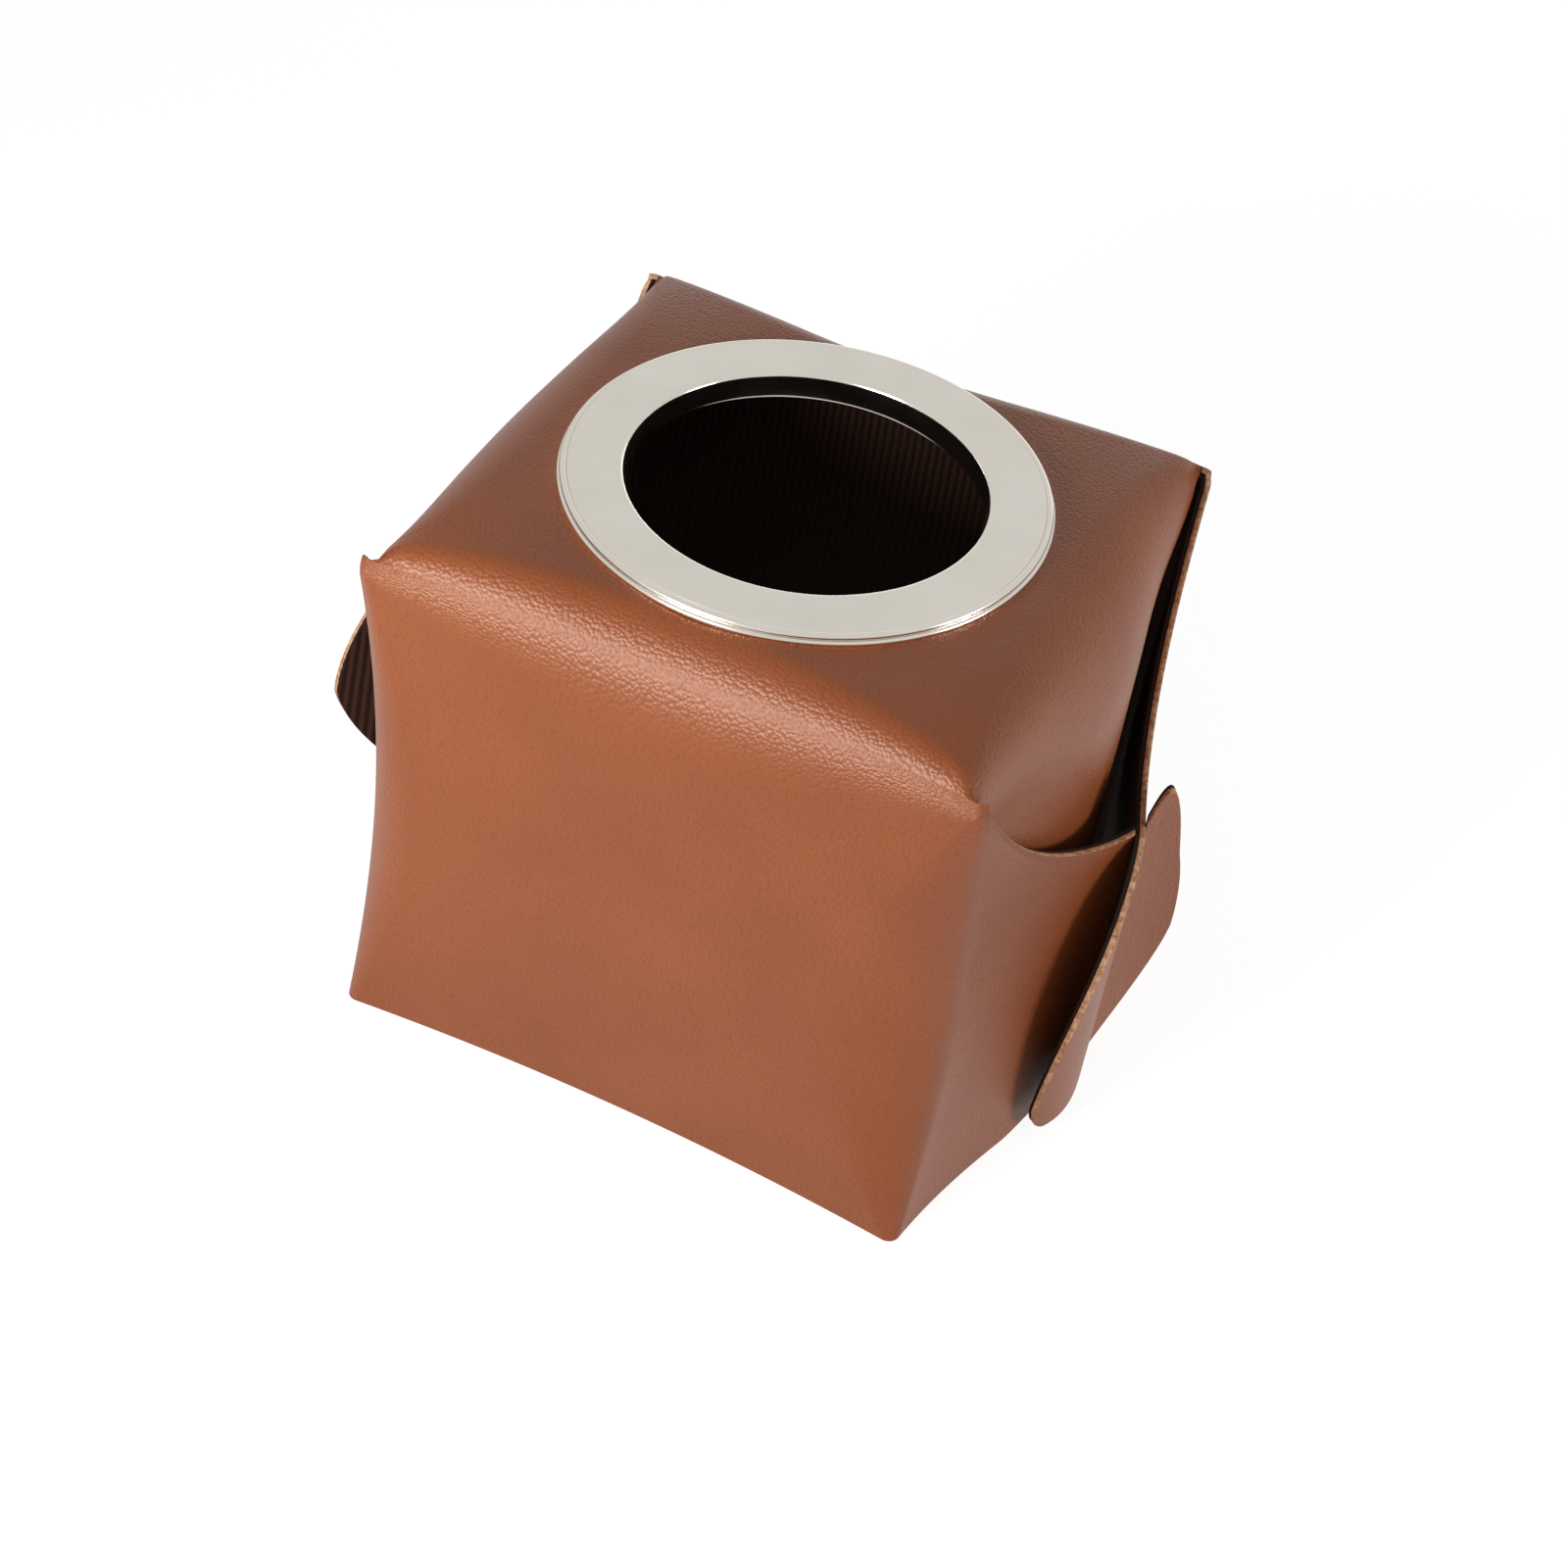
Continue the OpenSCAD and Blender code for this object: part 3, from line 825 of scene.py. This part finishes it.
    def lay_flap(self, side: int, rim: Sequence[Key]) -> None:
        """Lays a side flap and the strip that joins it to the top.

        Args:
            side: 1 for the right flap and -1 for the left one.
            rim: The names of the points on the edge of the top.
        """
        shape, s, lay = self.shape, self.s, self.sheet.lay
        first = len(self.flat_columns) + self.EDGE_STEPS - 1
        if side < 0:
            first += len(rim) // 2
        keys = [rim[first:first + self.FLAP_STEPS + 1]]
        shares = spread(-1, 1, self.FLAP_STEPS)
        for r, share in enumerate(spread(0, 1, self.STRIP_STEPS)[1:], 1):
            half = shape.strip_half(share)
            row = []
            for c, t in enumerate(shares):
                run = (side * (shape.line_run(t * half) - s.strip_run * (1 - share)),
                       side * t * half)
                row.append(lay(("strip", side, r, c), partial(shape.top_point, *run), run))
            keys.append(row)
        for r, q in enumerate(self.FLAP_ROWS):
            fall = s.flap_length * q
            corner = max(0.0, fall - s.flap_length + s.flap_corner_r) / s.flap_corner_r
            half = (s.flap_half_width - s.flap_taper * q
                    - s.flap_corner_r * (1 - arch(corner)) * s.flap_corner_share)
            row = []
            for c, t in enumerate(shares):
                y = side * t * half
                at = partial(shape.flap_point, side, y, s.flap_line_height - fall)
                row.append(lay(("flap", side, r, c), at, (side * (shape.line_run(y) + fall), y)))
            keys.append(row)
        self.sheet.cover(keys, Body.RIGHT_FLAP if side > 0 else Body.LEFT_FLAP, turned=True)

    def lay_corner(self, corner: Corner) -> None:
        """Lays a wing, which belongs to the cover, and the tab at its end.

        Args:
            corner: The wing and its tab.
        """
        fold = len(self.columns) - 1 if corner.sx > 0 else 0
        before = corner.wing_columns()
        columns = [(b, b) for b in before] + corner.tab_columns()
        keys = []
        for r in range(len(self.rows)):
            row = [("panel", corner.side, r, fold)]
            for c, (face, deep) in enumerate(columns):
                row.append(self.sheet.lay(("wing", corner.sx, corner.side, r, c),
                                          partial(corner.point, face, deep, r),
                                          self.wing_flat(corner, r, face)))
            keys.append(row)
        split, turned = len(before) + 1, (corner.sx > 0) != (corner.side < 0)
        self.sheet.cover([row[:split + 1] for row in keys], Body.COVER, turned)
        self.sheet.cover([row[split:] for row in keys], corner.body, turned, gap=corner.in_slit)

    def lay_all(self) -> Sheet:
        """Lays the whole sheet.

        Returns:
            The sheet.
        """
        for side in (-1, 1):
            self.lay_panel(side)
        rim = self.lay_top()
        for right in (True, False):
            self.lay_flap(1 if right else -1, rim)
            for front in (True, False):
                self.lay_corner(Corner(self.shape, right, front, self.rows))
        return self.sheet


class Recipe:
    """Writes the nodes of one material, or of the world."""

    def __init__(self, tree: bpy.types.NodeTree) -> None:
        """Keeps the tree that the nodes go into."""
        self.tree = tree

    def add(self, kind: str, inputs: dict | None = None, **settings: object) -> Node:
        """Adds a node.

        Args:
            kind: The end of the node type's name.
            inputs: Sockets or values for the node's inputs, by name or number.
            settings: The node's own settings.

        Returns:
            The node.
        """
        node = self.tree.nodes.new("ShaderNode" + kind)
        for name, value in settings.items():
            setattr(node, name, value)
        self.feed(node, inputs or {})
        return node

    def feed(self, node: Node, inputs: dict) -> None:
        """Links sockets to a node's inputs, or sets the inputs' own values.

        Args:
            node: The node.
            inputs: Sockets or values, by the input's name or number.
        """
        for name, value in inputs.items():
            if isinstance(value, Socket):
                self.tree.links.new(value, node.inputs[name])
            else:
                node.inputs[name].default_value = value

    def noise(self, place: Socket, scale: float, detail: float = 2.0) -> Socket:
        """Returns even noise at a scale, in bumps to the metre."""
        return self.add("TexNoise", {"Vector": place, "Scale": scale, "Detail": detail}).outputs[0]

    def between(self, share: Socket, low: object, high: object) -> Socket:
        """Returns a colour between two, by a share."""
        return self.add("Mix", {0: share, 6: low, 7: high}, data_type="RGBA").outputs[2]

    def span(self, value: Socket, source: Place, target: Place) -> Socket:
        """Returns a value moved from one span to another."""
        return self.add("MapRange", dict(enumerate((value, *source, *target)))).outputs[0]

    def blend(self, value: Socket, share: float, rest: Socket) -> Socket:
        """Returns the rest with a share of a value added."""
        return self.add("Math", {0: value, 1: share, 2: rest}, operation="MULTIPLY_ADD").outputs[0]

    def surface(self, inputs: dict) -> None:
        """Feeds the inputs of the material's surface shader."""
        self.feed(next(n for n in self.tree.nodes if n.type == "BSDF_PRINCIPLED"), inputs)

    def bump(self, height: Socket, depth: float, strength: float) -> None:
        """Roughens the surface and its coat by a height."""
        bump = self.add("Bump", {"Height": height, "Distance": depth, "Strength": strength})
        self.surface({"Normal": bump.outputs[0], "Coat Normal": bump.outputs[0]})


def linear(*screen: int) -> Colour:
    """Returns a screen colour as the linear colour that a shader takes."""
    parts = [value / 255 for value in screen]
    return (*(c / 12.92 if c <= 0.04045 else ((c + 0.055) / 1.055) ** 2.4 for c in parts), 1.0)


@dataclass(frozen=True)
class Finish:
    """A finish that is laid over a mesh, by name. Lengths are in metres."""

    name: str

    def make(self) -> bpy.types.Material:
        """Gives the material, made once.

        Returns:
            The material.
        """
        material = bpy.data.materials.get(self.name)
        if not material:
            material = bpy.data.materials.new(self.name)
            material.use_nodes = True
            self.dress(Recipe(material.node_tree))
        return material

    def dress(self, recipe: Recipe) -> None:
        """Sets the nodes of the material, which each kind of finish does its own way."""

    @staticmethod
    def solid(recipe: Recipe) -> Socket:
        """Returns the place in the object."""
        return recipe.add("TexCoord").outputs["Object"]

    @staticmethod
    def flat(recipe: Recipe) -> Socket:
        """Returns the place on the flat sheet."""
        return recipe.add("UVMap", uv_map="sheet").outputs[0]


@dataclass(frozen=True)
class GrainedLeather(Finish):
    """Tan leather with a fine pebbled grain that glints where the light grazes it."""

    light: Colour = linear(157, 83, 42)
    deep: Colour = linear(147, 75, 36)
    # Painted shade: the darker colour given to the valleys between the pebbles.
    valley_shade: Colour = linear(122, 61, 33)
    sheen: Colour = (1, 0.76, 0.6, 1)
    pebble: float = 0.00084
    pebble_softness: float = 0.35
    pebble_bend: float = 0.0005
    bend_scale: float = 500.0
    fine_scale: float = 1700.0
    fine_share: float = 0.45
    tone_scale: float = 30.0
    valley_shade_span: Place = (0.4, 0.9)
    valley_shade_share: Place = (0.0, 0.35)
    depth: float = 0.00017
    strength: float = 0.6
    roughness: Place = (0.34, 0.46)

    def dress(self, recipe: Recipe) -> None:
        """Adds the tone, the grain, the painted shade in the grain's valleys and the glints.

        Args:
            recipe: Writes the nodes.
        """
        flat, solid = self.flat(recipe), self.solid(recipe)
        warp = recipe.add("TexNoise", {"Vector": flat, "Scale": self.bend_scale, "Detail": 2.0})
        bent = recipe.add("VectorMath", {0: warp.outputs[1], 1: (self.pebble_bend,) * 3, 2: flat},
                          operation="MULTIPLY_ADD").outputs[0]
        cells = recipe.add("TexVoronoi", {"Vector": bent, "Scale": 1 / self.pebble,
                                          "Smoothness": self.pebble_softness},
                           voronoi_dimensions="2D", feature="SMOOTH_F1").outputs["Distance"]
        fine = recipe.noise(flat, self.fine_scale, 3.0)
        height = recipe.blend(fine, self.fine_share, recipe.span(cells, (0.0, 1.0), (1.0, 0.0)))
        recipe.bump(height, self.depth, self.strength)
        tone = recipe.span(recipe.noise(solid, self.tone_scale, 4.0), NOISE_SPAN, (0.0, 1.0))
        skin = recipe.between(tone, self.deep, self.light)
        # Painted shade: the colour darkens where the pebbles' cells meet, as if shade lay in the
        # valleys.
        valley_shade_mask = recipe.span(cells, self.valley_shade_span, self.valley_shade_share)
        recipe.surface({
            "Base Color": recipe.between(valley_shade_mask, skin, self.valley_shade),
            "Roughness": recipe.span(fine, NOISE_SPAN, self.roughness),
            "Specular IOR Level": 0.5, "Specular Tint": self.sheen,
            "Coat Weight": 0.22, "Coat Roughness": 0.36})


@dataclass(frozen=True)
class CutLeather(Finish):
    """The pale, fibrous cut edge of the sheet."""

    light: Colour = linear(238, 190, 150)
    deep: Colour = linear(176, 118, 82)
    mottle_scale: float = 900.0
    mottled: Place = (0.35, 0.65)
    fibre_scale: float = 2600.0
    depth: float = 0.00015
    strength: float = 0.6

    def dress(self, recipe: Recipe) -> None:
        """Adds mottled fibres.

        Args:
            recipe: Writes the nodes.
        """
        solid = self.solid(recipe)
        mottle = recipe.span(recipe.noise(solid, self.mottle_scale, 4.0), self.mottled, (0, 1))
        recipe.surface({"Base Color": recipe.between(mottle, self.deep, self.light),
                        "Roughness": 0.82, "Specular IOR Level": 0.25})
        recipe.bump(recipe.noise(solid, self.fibre_scale), self.depth, self.strength)


@dataclass(frozen=True)
class RibbedLining(Finish):
    """Dark brown lining with fine woven ribs that run up the panels."""

    light: Colour = linear(72, 43, 29)
    deep: Colour = linear(22, 14, 10)
    pitch: float = 0.0018
    waver: float = 0.6
    thread_scale: float = 1900.0
    thread_share: float = 0.35
    shaded: Place = (0.1, 1.25)
    depth: float = 0.0003
    strength: float = 0.7

    def dress(self, recipe: Recipe) -> None:
        """Adds the ribs and the threads across them.

        Args:
            recipe: Writes the nodes.
        """
        flat = self.flat(recipe)
        ribs = recipe.add("TexWave", {"Vector": flat, "Scale": math.pi / 10 / self.pitch,
                                      "Distortion": self.waver, "Detail Scale": 3.0})
        threads = recipe.noise(flat, self.thread_scale)
        height = recipe.blend(threads, self.thread_share, ribs.outputs["Fac"])
        shade = recipe.span(height, self.shaded, (0.0, 1.0))
        recipe.surface({"Base Color": recipe.between(shade, self.deep, self.light),
                        "Roughness": 0.86, "Specular IOR Level": 0.2})
        recipe.bump(height, self.depth, self.strength)


@dataclass(frozen=True)
class PolishedNickel(Finish):
    """Warm polished nickel with faint turning marks."""

    light: Colour = linear(240, 234, 224)
    deep: Colour = linear(224, 218, 207)
    cloud_scale: float = 60.0
    roughness: Place = (0.13, 0.2)
    mark_scale: float = 900.0
    waver: float = 2.0
    depth: float = 0.00001
    strength: float = 0.25

    def dress(self, recipe: Recipe) -> None:
        """Adds a faint cloudiness and fine marks round the ring.

        Args:
            recipe: Writes the nodes.
        """
        solid = self.solid(recipe)
        cloud = recipe.noise(solid, self.cloud_scale, 3.0)
        recipe.surface({"Base Color": recipe.between(cloud, self.deep, self.light), "Metallic": 1.0,
                        "Roughness": recipe.span(cloud, NOISE_SPAN, self.roughness)})
        marks = recipe.add("TexWave", {"Vector": solid, "Scale": self.mark_scale,
                                       "Distortion": self.waver},
                           wave_type="RINGS", rings_direction="Z").outputs["Fac"]
        recipe.bump(marks, self.depth, self.strength)


@dataclass(frozen=True)
class WhiteFloor(Finish):
    """A floor that is seen white and keeps a faint shadow."""

    grey: Colour = (0.3, 0.3, 0.3, 1)
    glow: float = 0.88

    def dress(self, recipe: Recipe) -> None:
        """Adds the glow that only the camera and mirrors see."""
        recipe.surface({"Base Color": self.grey, "Roughness": 0.9, "Emission Color": (1, 1, 1, 1),
                        "Emission Strength": Studio.seen(recipe, 0.0, self.glow)})


LEATHER = GrainedLeather("tan_leather")
CUT_EDGE = CutLeather("cut_edge")
LINING = RibbedLining("ribbed_lining")
NICKEL = PolishedNickel("polished_nickel")
FLOOR = WhiteFloor("white_floor")


class SheetMesher:
    """Cuts the sheet into pieces and gives each its thickness, rounded edges and normals."""

    RIM = {Layer.LEATHER: ((0.0, 0.0), (0.13, 0.11), (0.5, 0.17), (0.87, 0.11), (1.0, 0.0)),
           Layer.LINING: ((0.0, -0.05), (0.2, 0.0), (0.8, 0.0), (1.0, -0.1))}

    def __init__(self, sheet: Sheet) -> None:
        """Works out the normals of the whole sheet, and how many faces use each edge.

        Args:
            sheet: The laid sheet.
        """
        self.sheet = sheet
        self.normals = [self.sum_normals(level) for level in range(len(sheet.depths))]
        self.uses = Counter(frozenset(edge) for face, _ in sheet.faces for edge in edges(face))

    def sum_normals(self, level: int) -> dict[Key, Vector]:
        """Gives each point's normal, from the faces round it.

        Args:
            level: Which of the sheet's depths.

        Returns:
            The normals by the points' names.
        """
        total: dict[Key, Vector] = {}
        for face, _ in self.sheet.faces:
            corners = [Vector(self.sheet.points[k][level]) for k in face]
            normal = (corners[1] - corners[0]).cross(corners[-1] - corners[0])
            if len(corners) > 3:
                normal += (corners[3] - corners[2]).cross(corners[1] - corners[2])
            for key in face:
                total[key] = total.get(key, Vector()) + normal
        return {key: n.normalized() for key, n in total.items()}

    def outward(self, rim: Sequence[tuple[Key, Key]], level: int) -> dict[Key, Vector]:
        """Gives the way out of the sheet at each point of a rim.

        Args:
            rim: The rim's edges, as pairs of names.
            level: Which of the sheet's depths.

        Returns:
            The directions by the points' names.
        """
        away: dict[Key, Vector] = {}
        points, normals = self.sheet.points, self.normals[level]
        for a, b in rim:
            edge = Vector(points[b][level]) - Vector(points[a][level])
            out = edge.cross(normals[a] + normals[b])
            if out.length > NO_LENGTH:
                for key in (a, b):
                    away[key] = away.get(key, Vector()) + out.normalized()
        return {key: out.normalized() for key, out in away.items()}

    def piece(self, name: str, body: Body, layer: Layer,
              finishes: Sequence[Finish]) -> bpy.types.Object:
        """Makes the mesh of one layer of one body's share of the sheet.

        Args:
            name: The object's name.
            body: The body whose faces are taken.
            layer: The layer.
            finishes: The finish of the face, of the cut edge and of the back.

        Returns:
            The object.
        """
        outer, inner = (0, 1) if layer is Layer.LEATHER else (1, 2)
        faces = [f for f, b in self.sheet.faces if b is body]
        keys = sorted({k for f in faces for k in f}, key=str)
        number, count = {k: i for i, k in enumerate(keys)}, len(keys)
        verts = [Vector(self.sheet.points[k][level]) for level in (outer, inner) for k in keys]
        polygons: list[tuple[int, ...]] = []
        slots: list[int] = []
        normals: list[Vector] = []
        for f in faces:
            polygons.append(tuple(number[k] for k in f))
            polygons.append(tuple(number[k] + count for k in reversed(f)))
            slots += [0, 2]
            normals += [self.normals[outer][k] for k in f]
            normals += [-self.normals[inner][k] for k in reversed(f)]
        rim = [e for f in faces for e in edges(f) if self.uses[frozenset(e)] == 1]
        profile, chains = self.RIM[layer], {}
        for key, out in self.outward(rim, outer).items():
            top, foot = number[key], number[key] + count
            chains[key] = [top, *range(len(verts), len(verts) + len(profile) - 2), foot]
            verts += [verts[top].lerp(verts[foot], share) + out * bulge
                      for share, bulge in profile[1:-1]]
        for a, b in rim:
            for k in range(len(profile) - 1):
                quad = (chains[a][k], chains[a][k + 1], chains[b][k + 1], chains[b][k])
                p = [verts[i] for i in quad]
                flat = (p[2] - p[0]).cross(p[3] - p[1])
                flat = flat.normalized() if flat.length > NO_AREA else Vector((0, 0, 1))
                polygons.append(quad)
                slots.append(1)
                normals += [flat] * 4
        mesh = bpy.data.meshes.new(name)
        mesh.from_pydata([v * MM for v in verts], [], polygons)
        for finish in finishes:
            mesh.materials.append(finish.make())
        mesh.polygons.foreach_set("material_index", slots)
        places = [self.sheet.places[k] for k in keys] * 2
        places += [(0.0, 0.0)] * (len(verts) - 2 * count)
        flat_map = [p * MM for loop in mesh.loops for p in places[loop.vertex_index]]
        mesh.uv_layers.new(name="sheet").data.foreach_set("uv", flat_map)
        mesh.polygons.foreach_set("use_smooth", [True] * len(polygons))
        mesh.normals_split_custom_set([tuple(n) for n in normals])
        mesh.update()
        return stand(name, mesh)


class LeatherCover:
    """The folded leather and its lining: the shell, four tabs and two flaps."""

    CORNERS = (Body.FRONT_RIGHT, Body.BACK_RIGHT, Body.BACK_LEFT, Body.FRONT_LEFT)
    LOOKS = {Layer.LEATHER: (LEATHER, CUT_EDGE, CUT_EDGE),
             Layer.LINING: (CUT_EDGE, LINING, LINING)}

    def __init__(self, sizes: CoverSizes) -> None:
        """Lays the sheet."""
        self.s = sizes
        self.mesher = SheetMesher(SheetLayout(CoverShape(sizes)).lay_all())

    def nodes(self, body: Body, layer: Layer) -> list[str]:
        """Gives the frame's nodes that a piece stands for.

        Args:
            body: The piece's body.
            layer: The piece's layer.

        Returns:
            The names of the nodes.
        """
        plain = layer is Layer.LEATHER
        if body is not Body.COVER:
            return [body.value + ("" if plain else "_lining")]
        wing = "_wing" if plain else "_wing_lining"
        return ([f"{part}_{layer.value}" for part in ("top", "front", "back")]
                + [b.value.removesuffix("_tab") + wing for b in self.CORNERS])

    def join(self, piece: bpy.types.Object, body: Body) -> None:
        """Makes a piece of the cover move with its body; the other pieces keep their places, with
        their transforms baked.

        Args:
            piece: The piece.
            body: Its body.
        """
        if body is Body.COVER:
            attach(piece, body.value)
            return
        body in self.CORNERS
        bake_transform(piece)

    def build(self) -> None:
        """Makes every piece of both layers."""
        for body in Body:
            for layer in Layer:
                stem = "shell" if body is Body.COVER else body.value
                name = f"{stem}_{layer.value}_skin"
                piece = self.mesher.piece(name, body, layer, self.LOOKS[layer])
                self.join(piece, body)
                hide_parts(*self.nodes(body, layer))
                LOG.info("%s: %d faces", piece.name, len(piece.data.polygons))


@dataclass(frozen=True)
class Ring:
    """The flanged ring and the backing ring that it is closed over.

    A bead has its inset and depth, its radius, the two angles of its arc and its steps.
    """

    s: CoverSizes
    steps: int = 192
    corner_steps: int = 6
    sharp_angle: float = 35.0
    face_inset: float = 2.1
    groove: Place = (1.85, 0.3)
    upper_bead: tuple[float, ...] = (1.3, 0.85, 0.8, 125, -20, 8)
    lower_groove: Place = (0.75, 1.3)
    lower_bead: tuple[float, ...] = (0.6, 1.9, 0.6, 65, -30, 6)
    foot_inset: float = 0.25
    rim_chamfer: float = 0.3
    hole_chamfer: float = 0.2

    @staticmethod
    def arc(centre: Place, r: float, start: float, end: float, steps: int) -> list[Place]:
        """Returns points of an arc in a section, from a start to an end angle in degrees."""
        return [(centre[0] + r * math.cos(math.radians(a)),
                 centre[1] + r * math.sin(math.radians(a))) for a in spread(start, end, steps)]

    def bead(self, bead: tuple[float, ...], face: float) -> list[Place]:
        """Returns the points of a bead below the height of the ring's face."""
        return self.arc((self.s.ring_r - bead[0], face - bead[1]), *bead[2:])

    @property
    def seat(self) -> float:
        """Returns the height of the underside of the backing ring."""
        return self.s.top_height - self.s.sheet_t - self.s.backing_t

    def section(self) -> list[Place]:
        """Gives the ring's section: flange, rim, collar and the edge turned out below.

        Returns:
            The radius and height of its points.
        """
        s, seat, metal, steps = self.s, self.seat, self.s.ring_metal_t, self.corner_steps
        face, foot = s.top_height + s.flange_height, seat - metal
        lip, edge, mouth = s.collar_r + s.lip_width - metal / 2, s.rim_edge_r, s.mouth_edge_r
        return [
            *self.arc((s.opening_r + mouth, face - mouth), mouth, 180, 90, 8),
            (s.ring_r - self.face_inset, face),
            (s.ring_r - self.groove[0], face - self.groove[1]),
            *self.bead(self.upper_bead, face),
            (s.ring_r - self.lower_groove[0], face - self.lower_groove[1]),
            *self.bead(self.lower_bead, face),
            (s.ring_r - self.foot_inset, s.top_height), (s.ring_r - metal, s.top_height),
            *self.arc((s.ring_r - edge, face - edge), edge - metal, 0, 90, steps),
            (s.collar_r + metal, face - metal), (s.collar_r, face - 2 * metal),
            (s.collar_r, seat), (lip, seat),
            *self.arc((lip, seat - metal / 2), metal / 2, 90, -90, steps),
            *self.arc((s.opening_r + metal, foot + metal), metal, 270, 180, steps),
        ]

    def backing(self) -> list[Place]:
        """Gives the backing ring's section.

        Returns:
            The radius and height of its points.
        """
        hole, rim, foot = self.s.hole_r, self.s.ring_r - self.s.backing_inset, self.seat
        top, cut, bore = foot + self.s.backing_t, self.rim_chamfer, self.hole_chamfer
        return [(hole, foot + bore), (hole, top), (rim - cut, top), (rim, top - cut),
                (rim, foot + cut), (rim - cut, foot), (hole + bore, foot)]

    def turn(self, name: str, section: Sequence[Place]) -> bpy.types.Object:
        """Turns a closed section of metal about the upright axis.

        Args:
            name: The object's name.
            section: Radius and height of its points.

        Returns:
            The object.
        """
        verts, faces, n = [], [], len(section)
        for k in range(self.steps):
            a, after = 2 * math.pi * k / self.steps, (k + 1) % self.steps
            verts += [(r * math.cos(a) * MM, r * math.sin(a) * MM, z * MM) for r, z in section]
            for i in range(n):
                j = (i + 1) % n
                faces.append((k * n + i, k * n + j, after * n + j, after * n + i))
        mesh = bpy.data.meshes.new(name)
        mesh.from_pydata(verts, [], faces)
        mesh.materials.append(NICKEL.make())
        mesh.polygons.foreach_set("use_smooth", [True] * len(faces))
        mesh.update()
        mesh.set_sharp_from_angle(angle=math.radians(self.sharp_angle))
        return stand(name, mesh)

    def build(self) -> None:
        """Makes the ring and its backing ring."""
        for name, node, section in (("nickel_ring", "ring", self.section()),
                                    ("nickel_backing", "backing_ring", self.backing())):
            piece = self.turn(name, section)
            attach(piece, Body.COVER.value)
            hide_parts(node)
            LOG.info("%s: %d faces", piece.name, len(piece.data.polygons))


@dataclass(frozen=True)
class Lamp:
    """A square lamp that looks at the cover: its place and side in metres, its power in watts."""

    name: str
    place: Point
    size: float
    power: float
    aim: Point = (0, 0, 0.08)

    def hang(self) -> None:
        """Adds the lamp to the scene."""
        data = bpy.data.lights.new(self.name, "AREA")
        data.size, data.energy = self.size, self.power
        place = Vector(self.place)
        turn = (Vector(self.aim) - place).to_track_quat("-Z", "Y").to_matrix().to_4x4()
        stand(self.name, data).matrix_world = Matrix.Translation(place) @ turn


@dataclass(frozen=True)
class Studio:
    """Floor, lamps and camera. The camera's place is in millimetres, its angles in radians."""

    focal_pixels: float = 2994.066
    image_pixels: float = 1600.0
    sensor: float = 36.0
    nearest: float = 0.01
    across_shift: float = 0.125
    yaw: float = 0.42876
    pitch: float = 0.73541
    roll: float = 0.09693
    place: Point = (164.151, -449.361, 475.502)
    floor_half: float = 3.0
    room_light: float = 0.18
    mirrored: float = 0.7
    lamps: tuple[Lamp, ...] = (Lamp("key", (-0.14, -0.46, 0.24), 0.19, 2.1),
                               Lamp("side", (0.72, 0.06, 0.16), 0.2, 2.0),
                               Lamp("back", (-0.1, 0.7, 0.04), 0.7, 0.8))

    def camera(self) -> None:
        """Sets the camera at the photograph's angle."""
        cy, sy, cp, sp = (f(a) for a in (self.yaw, self.pitch) for f in (math.cos, math.sin))
        right, ahead = Vector((cy, sy, 0)), Vector((-sy, cy, 0))
        forward = ahead * cp - Vector((0, 0, sp))
        up = ahead * sp + Vector((0, 0, cp))
        cr, sr = math.cos(self.roll), math.sin(self.roll)
        data = bpy.data.cameras.new("camera")
        data.sensor_width = self.sensor
        data.sensor_fit = "HORIZONTAL"
        data.lens = self.sensor * self.focal_pixels / self.image_pixels
        data.shift_x = self.across_shift
        data.clip_start = self.nearest
        obj = stand("camera", data)
        turn = Matrix((right * cr + up * sr, up * cr - right * sr, -forward)).transposed()
        obj.matrix_world = Matrix.Translation(Vector(self.place) * MM) @ turn.to_4x4()
        bpy.context.scene.camera = obj

    def floor(self) -> None:
        """Lays a wide white floor."""
        mesh, half = bpy.data.meshes.new("floor"), self.floor_half
        corners = [(-half, -half, 0), (half, -half, 0), (half, half, 0), (-half, half, 0)]
        mesh.from_pydata(corners, [], [(0, 1, 2, 3)])
        mesh.materials.append(FLOOR.make())
        stand("floor", mesh)

    @staticmethod
    def seen(recipe: Recipe, lit: float, shown: float) -> Socket:
        """Gives one strength for the light that falls on things, and another for what is seen.

        Args:
            recipe: Writes the nodes.
            lit: The strength that lights.
            shown: The strength that is seen.

        Returns:
            The strength.
        """
        path = recipe.add("LightPath").outputs
        straight = recipe.add("Math", {0: path["Is Camera Ray"], 1: path["Is Transmission Ray"]},
                              operation="ADD").outputs[0]
        total = recipe.blend(path["Is Glossy Ray"], Studio.mirrored, straight)
        return recipe.span(total, (0.0, 1.0), (lit, shown))

    def world(self) -> None:
        """Lights the room evenly, and is seen white."""
        world = bpy.data.worlds.new("studio")
        world.use_nodes = True
        background = next(n for n in world.node_tree.nodes if n.type == "BACKGROUND")
        recipe = Recipe(world.node_tree)
        recipe.feed(background, {"Color": (1, 1, 1, 1),
                                 "Strength": self.seen(recipe, self.room_light, 1.0)})
        bpy.context.scene.world = world

    def build(self) -> None:
        """Sets up the studio."""
        bpy.context.scene.view_settings.view_transform = "Standard"
        self.camera()
        self.world()
        self.floor()
        for lamp in self.lamps:
            lamp.hang()


def main() -> None:
    """Builds the scene in order."""
    logging.basicConfig(level=logging.INFO, format="%(message)s", stream=sys.stdout)
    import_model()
    sizes = CoverSizes()
    Studio().build()
    LeatherCover(sizes).build()
    Ring(sizes).build()


if __name__ == "__main__":
    main()
